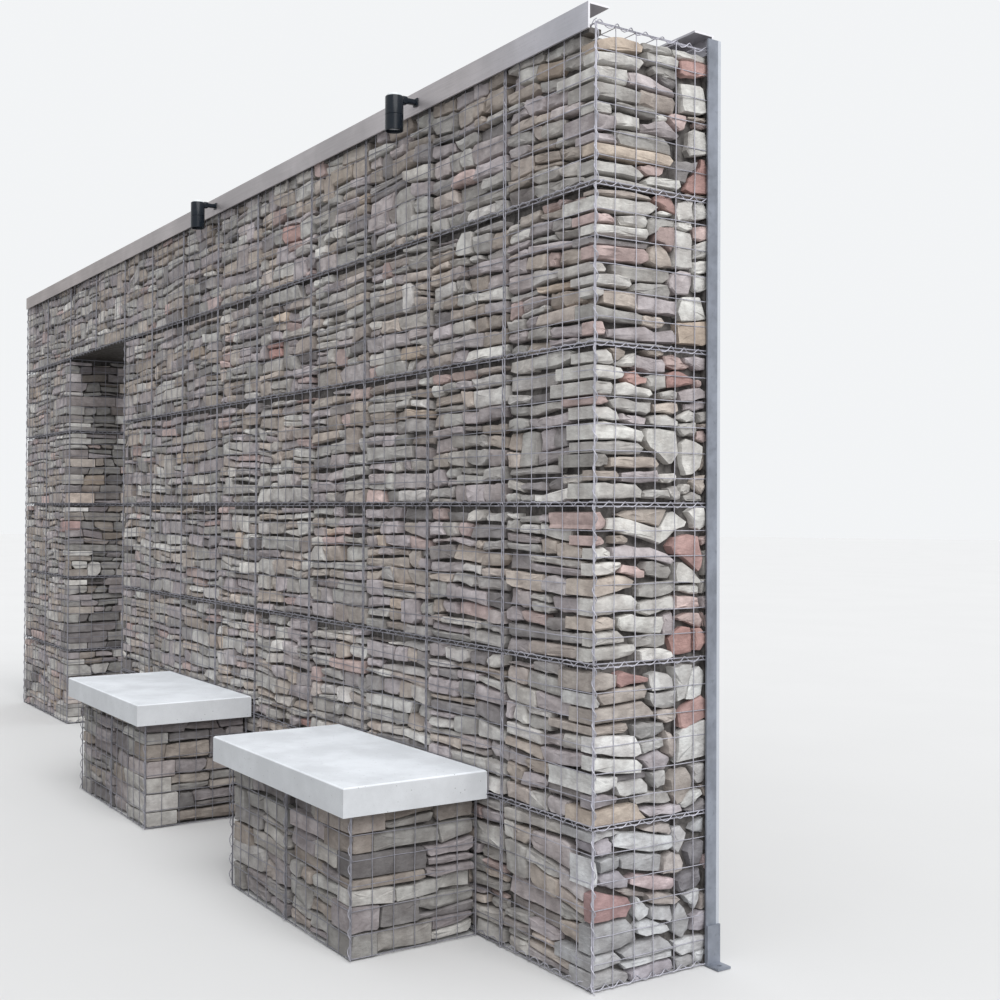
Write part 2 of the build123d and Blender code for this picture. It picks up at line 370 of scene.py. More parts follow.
def zinc_material(name, colour, scale, fade=None, edge=None):
    """Dull zinc with a faint spangle.

    fade is (low, high, tone): along X it is darker by that tone below low, and no longer from high on.
    edge is (low, high, colour): along Y it turns into that colour between low and high, which paints a
    highlight along the posts' outer corner."""
    r, place = recipe(name)
    spots = r.node("ShaderNodeTexVoronoi", Vector=place, Scale=scale).outputs["Color"]
    spangle = r.node("ShaderNodeSeparateColor", spots).outputs[0]
    cloud = r.noise(place, 9.0, 4.0, 0.6)
    stain = r.noise(place, 55.0, 3.0, 0.6)
    base = r.mix(r.ramp(cloud, 0.35, 0.65), toned(colour, 0.78), toned(colour, 1.14))
    base = r.patch(base, spangle, 0.2, 0.8, toned(colour, 1.3), 0.22)
    base = r.patch(base, stain, 0.60, 0.72, toned(colour, 0.5), 0.35)
    if fade:
        low, high, tone = fade
        base = r.tint(base, r.parts(place)["X"], high, low, (tone, tone, tone))
    if edge:
        low, high, bright = edge
        base = r.patch(base, r.parts(place)["Y"], low, high, bright)
    return r.finish(
        Base_Color=base,
        Roughness=r.ramp(spangle, 0.0, 1.0, 0.42, 0.6),
        Metallic=0.55,
        Normal=r.bump(stain, 0.15, 0.0006),
    )


def coping_material(colour):
    """Weathered mill finish with long faint streaks, and a painted reflection: brighter and bluer towards
    the near end, darker and warmer towards the far end. Bright where it is cut.
    """
    r, place = recipe("coping_steel")
    streaks = r.noise(r.stretched(place, (0.6, 40.0, 40.0)), 8.0, 4.0, 0.6)
    cloud = r.noise(place, 3.0, 4.0, 0.6)
    fine = r.noise(place, 160.0, 2.0)
    along = r.parts(place)["X"]
    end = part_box("front_coping")[1].x
    base = r.mix(r.ramp(cloud, 0.35, 0.65), toned(colour, 0.86), toned(colour, 1.08))
    base = r.patch(base, streaks, 0.45, 0.62, toned(colour, 0.80), 0.22)
    base = r.patch(base, fine, 0.62, 0.70, toned(colour, 0.6), 0.25)
    # Painted reflection: darker and warmer towards the far end, brighter and bluer towards the near end
    base = r.tint(base, along, 1.6, -2.8, (0.84, 0.80, 0.765))
    base = r.tint(base, along, 2.4, 3.2, (1.17, 1.24, 1.32))
    base = r.patch(base, r.math("ABSOLUTE", along), end - 0.0008, end - 0.0004, (0.86, 0.85, 0.88))
    return r.finish(
        Base_Color=base,
        Roughness=r.ramp(streaks, 0.3, 0.7, 0.42, 0.58),
        Metallic=0.6,
        Normal=r.bump(streaks, 0.08, 0.0008),
    )


def black_material(colour):
    """Satin black powder coat with a little dust. Its slate-blue black is partly the coat's own colour and
    partly a painted reflection of the sky.
    """
    r, place = recipe("black_coat")
    dust = r.noise(place, 60.0, 4.0)
    return r.finish(
        Base_Color=r.mix(r.ramp(dust, 0.5, 0.75, 0.0, 0.35), colour, (0.025, 0.026, 0.03)),
        Roughness=r.ramp(dust, 0.3, 0.7, 0.20, 0.28),
        Specular_IOR_Level=0.22,
        Normal=r.bump(r.noise(place, 900.0, 2.0), 0.05, 0.0003),
    )


def glass_material(colour):
    """Frosted lens, unlit."""
    r, place = recipe("frosted_lens")
    frost = r.noise(place, 500.0, 2.0)
    return r.finish(
        Base_Color=r.mix(r.ramp(frost, 0.3, 0.7), toned(colour, 0.9), colour),
        Roughness=r.ramp(frost, 0.3, 0.7, 0.2, 0.35),
        Normal=r.bump(frost, 0.2, 0.0004),
    )


def concrete_material(colour):
    """Smooth cast concrete with faint clouds, specks and small pores, with painted shade that makes its
    sides darker than its top.
    """
    r, place = recipe("cast_concrete")
    cloud = r.noise(place, 5.0, 5.0, 0.6)
    specks = r.noise(place, 260.0, 2.0, 0.5)
    dots = r.node("ShaderNodeTexVoronoi", Vector=place, Scale=42.0).outputs["Distance"]
    pores = r.ramp(dots, 0.05, 0.11)
    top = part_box("near_bench_cap")[1].z
    base = r.mix(r.ramp(cloud, 0.35, 0.68), toned(colour, 0.90), toned(colour, 1.05))
    base = r.patch(base, specks, 0.60, 0.72, toned(colour, 0.74), 0.30)
    base = r.mix(pores, toned(colour, 0.62), base)
    # Painted shade: the sides darker than the top
    base = r.tint(base, r.parts(place)["Z"], top - 0.002, top - 0.005, (0.79, 0.78, 0.77))
    return r.finish(
        Base_Color=base,
        Roughness=r.ramp(cloud, 0.3, 0.7, 0.6, 0.78),
        Normal=r.bump(specks, 0.12, 0.0005, r.bump(pores, 0.5, 0.0012)),
    )


# Meshes of many small solids


def pick_only(*objects):
    """Selects these objects alone, and makes the first one active."""
    bpy.ops.object.select_all(action="DESELECT")
    for o in objects:
        o.select_set(True)
    bpy.context.view_layer.objects.active = objects[0]


def declare(made, slot, *nodes):
    """Puts a finished piece on the body, in place of nodes if there are any. slot is not used."""
    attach(made, "root")
    if nodes:
        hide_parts(*nodes)


class Heap:
    """Vertices, triangles and colours of many small closed solids, joined in one mesh."""

    def __init__(self):
        self.points, self.faces, self.colours, self.shifts, self.kinds = [], [], [], [], []
        self.count = 0

    def add(self, points, faces, colour=(0.5, 0.5, 0.5), shift=(0.0, 0.0, 0.0), kind=0):
        """Adds a solid. shift moves its grain, kind is the number of its material."""
        self.points.append(np.asarray(points, np.float32))
        self.faces.append(np.asarray(faces, np.int32) + self.count)
        self.colours.append(np.tile(np.array([*colour, 1.0], np.float32), (len(points), 1)))
        self.shifts.append(np.tile(np.array(shift, np.float32), (len(points), 1)))
        self.kinds.append(np.full(len(faces), kind, np.int32))
        self.count += len(points)

    def mesh(self, name, materials, smooth_angle, coloured=False):
        """The object made of all that was added."""
        points, faces = np.concatenate(self.points), np.concatenate(self.faces)
        data = bpy.data.meshes.new(name)
        data.vertices.add(len(points))
        data.vertices.foreach_set("co", points.ravel())
        data.loops.add(faces.size)
        data.loops.foreach_set("vertex_index", faces.ravel())
        data.polygons.add(len(faces))
        data.polygons.foreach_set("loop_start", np.arange(0, faces.size, 3, dtype=np.int32))
        data.polygons.foreach_set("material_index", np.concatenate(self.kinds))
        for material in materials:
            data.materials.append(bpy.data.materials[material])
        if coloured:
            for key, kind, field, values in (
                ("stone_colour", "FLOAT_COLOR", "color", self.colours),
                ("stone_shift", "FLOAT_VECTOR", "vector", self.shifts),
            ):
                layer = data.attributes.new(key, kind, "POINT")
                layer.data.foreach_set(field, np.concatenate(values).ravel())
        data.update(calc_edges=True)
        data.validate()
        made = bpy.data.objects.new(name, data)
        bpy.context.scene.collection.objects.link(made)
        pick_only(made)
        bpy.ops.object.shade_smooth_by_angle(angle=math.radians(smooth_angle))
        return made


# Stones


# The stones of the near end, course by course from the ground: a colour, then the corners of the face,
# in millimetres from the front and from the course's foot. A star marks a stone that lies deeper.
# The long dark stone that lies deeper in the fifth course fills a deep gap between two rows: its dark
# colour is painted shade
END_STONES = """
mauve 25,383 45,374 78,383 82,408 70,426 30,423 14,408
grey 5,418 25,428 75,430 105,438 65,445 5,443
white 90,396 140,384 225,363 295,359 311,366 308,397 205,421 110,434 84,413
brown 235,418 295,403 305,413 295,436 235,438 190,431
pale 315,388 320,356 340,341 358,378 365,398 345,424 315,418
white 395,396 440,387 460,396 455,429 435,437 388,423 376,407
grey 40,328 100,329 108,338 104,366 65,372 30,363
grey 112,334 155,321 215,308 261,302 260,349 160,368 109,356
brown 271,293 310,289 346,292 349,313 340,338 310,349 285,341 272,313
dark 382,298 420,301 431,328 425,371 375,368 358,346
dark 340,227 410,232 429,251 422,287 355,282 326,263
pink 435,283 455,278 458,313 445,334 426,326
pale 5,288 30,293 32,323 21,366 5,373
mauve 40,291 75,281 132,277 135,298 105,324 55,321 38,308
pink 146,283 180,268 235,251 305,243 316,257 310,274 235,293 165,307 144,298
red 5,191 65,189 135,189 142,203 160,218 142,243 70,262 30,277 5,271
brown* 135,251 160,238 220,228 215,243 140,266 100,271
brown 225,216 265,204 315,199 336,208 320,224 255,241 215,238
white 171,183 185,169 221,179 225,198 185,236 172,238
grey 230,168 295,151 308,158 310,191 265,199 228,203
grey 5,102 115,107 170,118 158,158 135,182 80,183 5,179
white 176,136 205,122 265,118 292,127 288,139 235,163 190,167 174,153
grey 312,118 345,91 372,113 378,143 360,178 335,198 315,163
pale 371,191 398,168 415,198 411,227 375,224 348,218
brown 415,163 455,168 458,193 440,214 416,208
mauve 380,111 415,99 460,103 456,158 415,161 382,151
grey 5,57 55,59 110,63 115,76 90,96 5,94
grey 130,68 215,64 310,68 295,91 265,112 180,106 112,91
grey 5,4 144,6 135,33 75,53 5,51
mauve 150,4 315,4 310,38 225,39 146,29
pale 319,58 345,41 425,44 451,63 440,87 365,92 318,81
grey 325,4 398,11 385,38 320,36
pale 410,4 459,4 460,33 435,51 399,38
pale 130,41 215,43 310,44 310,63 215,61 115,59

brown 6,384 50,384 89,393 90,428 40,436 6,433
red 112,388 145,397 212,401 215,411 165,423 125,436 100,428 94,403
pale 216,393 225,372 311,373 314,401 300,416 250,427 219,418
white 318,388 328,334 350,341 368,393 379,442 345,443 308,436
white 368,378 358,337 385,334 422,346 436,383 440,416 418,432 381,418
brown 30,356 42,343 100,344 202,353 208,376 200,393 60,382 22,374
grey 216,346 235,326 270,317 321,321 320,368 214,367
pale 6,338 30,338 36,344 18,375 6,377
brown 6,292 100,293 228,297 231,308 215,326 185,344 100,339 6,332
brown 245,291 280,274 326,281 325,313 270,316 240,307
red 334,259 350,251 390,263 450,282 452,298 442,332 425,344 350,318 331,298
brown 6,260 125,259 136,271 131,287 6,284
grey 172,243 200,232 245,236 281,256 272,278 200,282 159,276
white 324,193 320,152 350,154 420,161 452,166 433,223 431,272 345,254 325,238
pale 6,210 80,199 165,188 186,196 180,218 160,247 75,257 6,254
grey 186,201 200,189 260,203 275,211 265,233 182,223
brown 279,213 288,183 305,171 320,186 319,223 300,243 276,253
white 6,161 30,157 90,146 181,142 186,162 165,179 60,191 6,203
mauve 215,143 278,138 299,162 300,172 255,197 215,189 186,176
pale 6,96 60,99 95,113 96,136 40,143 6,151
pale 108,81 130,73 215,79 219,101 200,118 120,116 99,107
dark* 100,116 165,119 228,118 220,138 102,136
grey 230,106 245,88 275,93 280,113 275,138 220,133
brown 301,63 325,32 350,38 380,68 390,93 382,113 360,136 320,132 295,108
grey 392,98 410,82 439,88 442,118 430,142 378,137
white 358,15 395,29 421,53 412,66 385,68 350,44 340,29
mauve 6,54 50,56 98,63 102,78 50,92 6,88
grey 172,48 225,46 285,38 306,44 295,68 225,78 165,63
buff 6,4 190,4 204,8 182,28 168,52 100,51 6,47
mauve 220,7 300,4 340,13 336,29 280,33 220,37 186,29
dark 370,4 440,4 442,23 430,38 400,23 360,9
brown 429,44 443,43 442,79 422,77

pink 5,386 25,386 50,394 56,411 30,436 5,433
pale 115,373 210,356 254,343 261,389 180,403 105,421 59,417 54,388
white 256,341 288,356 315,378 360,394 371,409 315,437 295,432 263,388
brown 180,408 260,394 271,413 282,443 215,444 140,441 98,428
white 378,416 388,388 415,381 439,393 438,418 425,449 385,451 360,438
pink 5,338 35,341 46,349 30,368 5,367
brown 80,345 132,344 138,357 115,369 79,368
red 310,313 335,308 375,283 409,259 418,271 421,298 408,333 399,364 360,371 320,361 295,336
pink 420,334 453,346 449,371 409,356
pale 5,301 25,301 69,304 71,323 45,337 5,331
mauve 76,301 155,302 235,296 295,284 310,289 285,314 225,332 130,342 74,333
pale 5,254 35,254 85,261 110,281 108,291 55,292 5,289
pink 130,257 165,246 190,247 196,264 165,279 122,284 106,262
grey 204,253 255,242 290,241 299,259 290,277 250,289 202,291 191,271
white 322,224 410,224 412,232 385,263 345,287 328,284 319,258
grey 424,273 430,243 455,263 451,328 426,318
brown 5,196 25,196 90,207 150,221 162,238 132,252 75,249 5,241
grey 178,191 225,185 295,196 311,206 310,234 255,233 200,229 174,213
pale 325,203 385,190 412,191 415,213 405,221 324,218
pale 5,139 45,141 95,149 165,154 178,176 155,193 90,201 5,188
grey 180,143 215,134 265,147 311,151 308,189 215,182 180,171
pink 321,149 365,147 416,151 412,181 365,187 321,191
brown 5,98 35,98 84,102 85,127 65,136 5,132
white 101,111 115,96 140,91 215,81 266,80 268,113 260,129 170,133 145,141 99,133
mauve 272,77 310,77 313,113 308,143 271,131
pink 330,116 360,111 400,94 421,89 422,113 410,133 365,136 324,123
pale 5,53 65,57 119,63 121,78 100,94 5,91
grey 161,63 170,44 255,38 279,48 280,77 225,81 165,76
red 310,38 315,17 365,16 386,21 382,63 378,91 345,96 320,83 295,63
red 394,23 415,22 439,38 440,68 415,91 388,86
pale 5,9 90,13 160,23 172,38 168,52 95,53 5,46
white 190,3 275,1 308,9 300,26 265,36 215,39 182,32
grey 421,191 455,193 452,238 422,233
mauve 422,148 454,143 450,186 421,183
pink 431,93 455,83 452,136 429,138

brown 70,433 80,413 92,411 118,428 120,441 90,451 58,446
pale 6,404 50,401 79,404 70,431 55,441 6,433
pale 110,397 162,398 155,439 120,427 81,402
mauve 164,397 215,386 274,388 276,413 265,427 220,429 164,436
brown 210,434 250,432 272,443 260,454 188,449
pink 280,411 320,401 360,403 385,416 350,418 340,438 310,446 276,441
mauve 352,421 400,402 433,406 429,441 390,443 345,436
pale 6,361 30,359 80,357 112,363 121,376 112,393 40,398 6,396
red 128,352 160,344 196,354 201,368 176,372 160,389 135,383 120,361
grey 212,343 235,332 274,343 272,381 220,379 202,373
red 279,343 320,347 385,361 388,373 350,393 310,394 284,382 276,363
pink 395,347 414,351 411,374 389,373
grey 6,312 75,314 80,331 75,349 6,352
pale 92,313 210,312 221,321 210,334 165,341 120,351 86,344
grey 260,309 320,312 321,336 300,339 252,328
mauve 330,307 380,309 431,321 434,341 412,351 370,346 324,332
pink 6,284 30,282 64,291 50,307 6,306
grey 80,277 150,266 200,261 215,271 225,298 165,298 105,307 65,298
brown 232,271 300,268 322,277 320,301 280,301 228,292
mauve 359,282 405,282 442,291 436,313 395,307 356,301
pale 6,245 60,241 96,243 94,266 65,277 6,278
mauve 104,243 140,234 195,232 204,251 165,257 108,261
grey 215,236 250,231 320,232 324,247 285,267 235,264 212,253
pale 325,256 360,248 400,253 396,274 370,282 336,267
grey 328,221 345,203 390,206 401,223 398,249 326,241
pink 400,198 430,188 449,191 450,213 435,226 404,221
grey 415,247 443,253 440,282 406,277
brown 413,227 443,230 442,248 406,243
white 6,185 100,187 180,182 193,199 185,213 110,231 50,237 6,229
white 199,186 215,168 255,147 295,121 311,122 334,151 328,181 320,217 250,224 205,222 198,206
white 339,153 345,118 356,87 385,91 410,113 421,143 425,177 390,191 360,197 341,183
grey 6,147 100,144 180,147 196,163 175,177 100,183 6,177
grey 6,107 35,107 59,113 61,131 52,144 6,142
brown 72,107 150,105 240,107 250,118 235,138 150,138 69,133
brown 6,67 50,67 95,71 98,83 90,96 6,97
mauve 112,67 180,63 250,67 256,78 250,99 150,93 106,89
pale 265,64 295,64 322,73 320,94 280,91 258,78
pale 6,16 100,16 181,19 184,41 165,57 50,63 6,59
grey 192,19 240,16 299,19 280,42 225,44 191,36
grey 291,33 306,17 332,18 340,38 325,56 286,49
pale 332,46 345,28 378,38 372,61 345,63
brown 395,48 420,33 428,48 426,89 400,86 381,68
grey 355,13 425,13 430,29 395,39 350,27
brown 425,143 419,103 441,113 442,168 422,173

brown 5,423 115,427 215,431 205,441 115,446 5,436
red 231,433 255,426 285,411 309,402 310,428 295,451 265,456 230,446
pale 315,413 320,387 384,393 382,448 360,452 321,438
white 389,397 410,399 448,409 438,433 424,456 389,446
pale 5,382 90,384 210,388 228,398 250,418 215,429 115,424 5,419
white 255,393 304,399 295,404 265,411 241,397
pink 5,344 45,346 80,347 78,361 60,373 5,371
grey 105,347 205,352 209,368 201,381 140,379 92,373
grey 209,346 215,329 238,338 250,361 308,368 310,383 265,386 225,383 211,371
pink 235,316 265,311 298,291 311,313 309,364 250,359 238,336
pale 315,366 355,357 382,368 380,388 318,381
white 310,303 305,248 335,244 376,248 380,313 378,356 314,358
pink 388,343 415,336 450,351 451,376 440,384 389,374
white 389,313 391,282 435,287 448,313 449,343 415,332 392,322
white 386,239 425,237 455,243 453,278 415,277 389,271
pale 5,311 115,313 204,316 207,332 200,346 105,343 5,339
dark* 5,285 110,287 215,291 225,310 115,309 5,307
pink 5,243 105,241 185,243 205,253 203,272 185,283 105,282 5,279
brown 211,248 235,238 295,241 293,268 280,291 248,307 220,296 208,273
grey 5,203 45,204 54,213 46,233 5,233
grey 79,213 95,202 165,191 270,194 298,213 300,234 190,236 78,231
mauve 288,203 292,183 315,163 365,168 379,203 375,236 335,238 301,228
white 388,188 405,179 456,198 454,233 384,231
pale 5,171 45,168 140,167 149,178 135,196 55,201 5,193
grey 152,161 215,151 290,148 294,168 282,191 180,188 156,181
pale 5,136 25,131 45,143 40,158 5,161
brown 38,118 95,111 164,107 160,156 105,157 42,152
mauve 168,107 245,102 316,102 312,143 215,148 165,152
white 321,113 335,87 436,101 415,167 340,161
buff 328,21 425,21 439,31 436,96 322,83
grey 5,71 90,68 182,66 185,91 165,96 65,104 5,113
brown 188,66 235,59 260,63 270,76 260,91 188,93
pink 5,24 45,26 49,38 42,66 5,62
mauve 58,21 165,16 314,19 316,38 302,59 235,49 200,61 140,57 58,42
grey 5,4 265,4 265,11 165,9 65,12 5,16

buff 18,377 85,387 180,403 189,421 170,432 108,433 55,421 8,403
grey 192,418 215,413 295,416 292,439 192,438
pale 200,383 240,377 320,381 322,404 300,414 196,409
pale 305,418 330,414 442,421 440,438 400,442 302,437
red 328,368 345,361 400,371 444,381 441,417 380,413 325,407
pale 7,344 55,341 100,347 170,351 186,373 175,386 95,383 7,372
grey 222,363 235,352 280,347 320,348 318,379 228,374
pale 7,298 131,302 134,318 125,339 60,339 7,332
mauve 138,301 210,299 309,296 306,313 260,324 215,341 175,347 131,338
dark 245,336 280,319 311,318 315,344 232,347
white 336,298 340,257 410,259 430,266 426,343 415,352 340,346
grey 7,248 105,247 172,251 175,283 90,289 7,287
brown 176,251 215,242 306,244 309,278 300,287 178,291
pale 7,203 74,206 76,221 68,237 7,234
grey 85,229 125,223 210,218 239,221 240,241 170,246 82,238
pale 248,213 280,214 289,228 280,237 244,236
pink 300,213 324,197 340,201 356,231 352,247 315,247 288,236
pink 388,218 420,217 441,223 438,238 385,232
brown 361,237 390,238 441,247 439,257 395,253 358,245
pale 84,193 90,177 179,178 176,213 125,216 88,213
mauve 190,174 320,173 326,182 295,203 270,218 235,211 181,196
mauve 6,151 30,152 82,163 86,178 80,201 6,198
grey 86,138 100,121 200,123 299,118 290,146 270,163 200,168 90,162
mauve 6,118 95,121 86,138 82,151 6,143
pale 361,168 353,143 365,127 400,131 441,143 443,163 436,183 429,209 388,213 364,201
buff 6,82 75,82 170,79 292,86 304,102 290,118 100,116 6,112
dark 311,78 320,48 350,43 360,73 392,96 398,114 312,107
red 413,103 395,86 360,58 349,27 370,19 443,23 442,83 434,127 419,129
pink 176,59 200,46 245,49 258,58 268,78 210,81 175,72
pale 6,29 100,32 176,31 187,38 172,57 145,69 6,66
white 200,19 235,21 320,19 334,32 328,50 215,46 194,29
grey 6,3 325,4 310,11 225,15 140,21 6,17
brown 350,3 442,4 440,17 345,14
""".strip().split("\n\n")


def stone_faces(plain):
    """Triangles of a stone: its back, rings of points from there to its face, and the face's middle."""
    count, rings = (PLAIN_OUTLINE, 3) if plain else (OUTLINE, 4)
    faces = [(0, i + 1, i) for i in range(1, count - 1)]
    last = (rings - 1) * count
    for start in range(0, last, count):
        for i in range(count):
            a, b = start + i, start + (i + 1) % count
            faces += [(a, b, b + count), (a, b + count, a + count)]
    faces += [(last + i, last + (i + 1) % count, last + count) for i in range(count)]
    return np.array(faces)


STONE_FACES = {plain: stone_faces(plain) for plain in (False, True)}


class Leg:
    """A straight run of wall face, seen from outside from left to right. Its inward side is on the left.

    fade darkens its stones towards its end, as painted shade. marked holds (s, z, colour) of single stones
    on it."""

    def __init__(self, start, end, tone=1.0, fade=0.0, marked=()):
        self.tone, self.fade, self.marked = tone, fade, marked
        self.start = np.array([*start, 0.0])
        way = np.array([*end, 0.0]) - self.start
        self.length = float(np.linalg.norm(way))
        self.way = way / self.length
        self.inward = np.array([-self.way[1], self.way[0], 0.0])

    def place(self, s, depth, z):
        """Points at s along the run, at a depth behind its face, at height z."""
        return self.start + np.outer(s, self.way) + np.outer(depth, self.inward) + np.outer(z, UP)


class Rows:
    """Broken lines between the rows of stones of a stretch of wall."""

    # Length between the lines' knots, and how far all lines and each single one stray there
    KNOT = 0.15
    STRAY, OWN_STRAY = 0.0065, 0.0045

    def __init__(self, rng, low, high, count, length, corner=None):
        weights = rng.uniform(0.60, 1.45, count)
        base = low + (high - low) * np.concatenate([[0], np.cumsum(weights)]) / weights.sum()
        steps = max(2, int(round(length / self.KNOT)))
        calm = np.sin(np.pi * np.arange(count + 1) / count) ** 0.6
        waves = rng.normal(0, self.STRAY, steps + 1) + rng.normal(0, self.OWN_STRAY, (count + 1, steps + 1))
        self.knots = np.linspace(0, length, steps + 1)
        self.heights = base[:, None] + calm[:, None] * waves
        if corner is not None:
            self.heights[:, -1] = corner
            self.heights[:, -2] = (self.heights[:, -2] + corner) / 2

    def level(self, k, s):
        """Height of line k at s."""
        return float(np.interp(s, self.knots, self.heights[k]))


class Run:
    """One leg of a strip, with the rows that run along it.

    crown is how far below its top line stones may end."""

    def __init__(self, leg, start, rows, count, plain, crown):
        self.leg, self.start, self.rows, self.count = leg, start, rows, count
        self.plain, self.crown = plain, crown


def course_range(course):
    """Heights between which the stones of a course lie."""
    low, high = course * COURSE, (course + 1) * COURSE
    return low + 0.002, high - (0.009 if course < COURSES - 1 else 0.0035)


class Mason:
    """Lays stones in a heap, with one run of random draws."""

    # How blunt a stone's corners are, and how many are sharp, usual and blunt
    BLUNT, BLUNT_SHARES = (0.3, 1.0, 2.0), (0.28, 0.44, 0.28)
    # Chances of a gap above a top stone, of a stone that lies deep, and of two thin stones for a thick one
    OPEN_TOP, DEEP, SPLIT = 0.28, 0.035, 0.38
    # Stones two rows tall, for each cell's length: beside the near end, and elsewhere
    TALL_BY_CORNER, TALL = 0.03, 0.13

    def __init__(self, settings, seed, tone=1.0, size=1.0, stones=STONE_SHARES):
        self.settings, self.tone = settings, tone
        self.row, self.length = settings.row * size, settings.length * size
        self.rng = np.random.default_rng(seed)
        self.heap = Heap()
        self.names = [name for name, share in stones]
        shares = np.array([share for name, share in stones])
        self.shares = shares / shares.sum()
        names = [name for name, share in STONE_SHARES] + ["white"]
        self.colours = {name: np.array(getattr(settings, name)) for name in names}

    def colour(self, name=None, tone=1.0):
        """A colour, a little lighter or darker than its name says."""
        rng = self.rng
        drawn = self.names[rng.choice(len(self.names), p=self.shares)]
        other = self.names[rng.choice(3)]
        share = rng.uniform(0, 0.35 if name is None else 0.15)
        mixed = self.colours[name or drawn] * (1 - share) + self.colours[other] * share
        return np.clip(mixed * self.tone * tone * rng.normal(1.0, 0.10), 0.02, 0.9)

    def outline(self, corners, count, chip, flush):
        """The outline of a stone's face: its corners, chipped, and points along its longer sides.

        Many corners stay as they are. The corners on the flush side, if any, keep their shape."""
        rng = self.rng
        points = []
        centre = corners[:, 0].mean()
        for i, here in enumerate(corners):
            if len(corners) > 5:
                points.append(here + rng.normal(0, 0.0008, 2))
                continue
            blunt = rng.choice(self.BLUNT, p=self.BLUNT_SHARES)
            most = FLUSH_CHIP if flush * (here[0] - centre) > 0 else 1.0
            for other in (corners[i - 1], corners[(i + 1) % len(corners)]):
                way = other - here
                length = max(np.linalg.norm(way), 0.001)
                flat = abs(way[0]) / length
                cut = min(0.0008 + rng.gamma(1.5, blunt * chip * (0.0028 + 0.0042 * flat)), most)
                points.append(here + way * min(cut / length, 0.42 - 0.12 * flat))
        while len(points) < count:
            lengths = [np.linalg.norm(points[i - 1] - points[i]) for i in range(len(points))]
            i = int(np.argmax(lengths))
            a, b = points[i - 1], points[i]
            across = np.array([a[1] - b[1], b[0] - a[0]]) / lengths[i]
            points.insert(i, (a + b) / 2 + across * rng.normal(0.0005, 0.0020 * min(chip + 0.4, 1.0)))
        return np.array(points)

    def stone(self, place, corners, colour, reach, face, plain=False, flush=0, chip=1.0):
        """One stone. corners are the (s, z) of its face.

        reach and face are the depths of its back and its face behind that of the basket. flush is -1 or 1
        where its left or right side shows too. chip is how much its corners are chipped."""
        rng = self.rng
        count = PLAIN_OUTLINE if plain else OUTLINE
        points = self.outline(np.asarray(corners, float), count, chip, flush)
        low, high = points.min(axis=0), points.max(axis=0)
        middle, half = (low + high) / 2, np.maximum((high - low) / 2, 0.005)
        local = (points - middle) / half
        tilt = rng.normal(0, (0.0030, 0.0036))
        trim = rng.uniform(0.0016, 0.0040)

        def ring(scale, depth, rough):
            at = local * scale
            s, z = (middle + half * at).T
            return place(s, np.maximum(depth + at @ tilt + rng.normal(0, rough, len(at)), CLEAR), z)

        back = local * (0.92, 0.90)
        if flush:
            back[:, 0] = flush + (local[:, 0] - flush) * 0.95
            back[:, 1] = local[:, 1] * 0.97
        s, z = (middle + half * back).T
        # The back, the widest part, the edge of the face, and a ring within the face
        rings = [
            place(s, np.full(len(s), reach), z),
            ring(1.0, face + rng.uniform(0.0050, 0.0105), 0.0016),
            ring(1 - trim / half, face + rng.uniform(0.0010, 0.0030), 0.0012),
        ]
        if not plain:
            rings.append(ring((0.74, 0.56), face + rng.normal(0, 0.0008), 0.0015))
        centre = middle + half * rng.uniform(-0.15, 0.15, 2)
        rings.append(place(centre[:1], np.array([max(face - 0.0004, CLEAR)]), centre[1:]))
        self.heap.add(np.concatenate(rings), STONE_FACES[plain], colour, rng.uniform(-40, 40, 3))

    def joints(self, start, end, usual):
        """Places along a row where one stone ends and the next begins."""
        room = end - start
        if room < 0.03:
            return []
        lengths = []
        while sum(lengths) < room - usual * 0.35:
            lengths.append(float(np.clip(usual * math.exp(self.rng.normal(0, 0.40)), 0.05, 0.32)))
        scaled = np.array(lengths or [room])
        return [start, *(start + np.cumsum(scaled * room / scaled.sum()))]

    def lay(self, run, low_row, high_row, left, right, slants=(0.0, 0.0), corner=None):
        """A stone between two lines of its run, or two thin ones.

        slants lean its sides. A corner stone is (side, depth) and shows its end at the corner."""
        rng, gap = self.rng, self.settings.gap
        side_gaps = np.minimum(0.0004 + rng.gamma(1.1, 0.0012, 2), 0.006)
        reach = self.settings.reach * rng.uniform(0.85, 1.15)
        flush = 0
        if corner:
            flush = 1 if corner[0] == "right" else -1
            side_gaps[max(flush, 0)] = 0.0
            reach = corner[1] - 0.003
        low_drops = np.minimum(0.0006 + rng.gamma(1.2, gap * 0.62, 2), 0.011)
        high_drops = np.minimum(0.0004 + rng.gamma(1.0, gap * 0.28, 2), 0.008)
        if corner:
            low_drops, high_drops = low_drops * 0.4, high_drops * 0.4
        if high_row == run.count:
            open_top = run.crown > 0.01 and corner is None and rng.random() < self.OPEN_TOP
            high_drops = high_drops + rng.uniform(*((0.013, 0.028) if open_top else (0.0, run.crown)))
        sides = (left + run.start, right + run.start)
        lows = [run.rows.level(low_row, s) + drop for s, drop in zip(sides, low_drops)]
        highs = [run.rows.level(high_row, s) - drop for s, drop in zip(sides, high_drops)]
        ends = (left + side_gaps[0], right - side_gaps[1])

        def at(side, share):
            rise = (highs[side] - lows[side]) * share
            return ends[side] + slants[side] * (2 * share - 1), lows[side] + rise

        def shape(low, high):
            return [at(0, low[0]), at(1, low[1]), at(1, high[1]), at(0, high[0])]

        if rng.random() < self.DEEP:
            face = rng.uniform(0.027, 0.038)
        else:
            face = FACE + min(rng.gamma(1.5, 0.0052), 0.026)
        if corner:
            face = rng.uniform(0.0054, 0.0085)
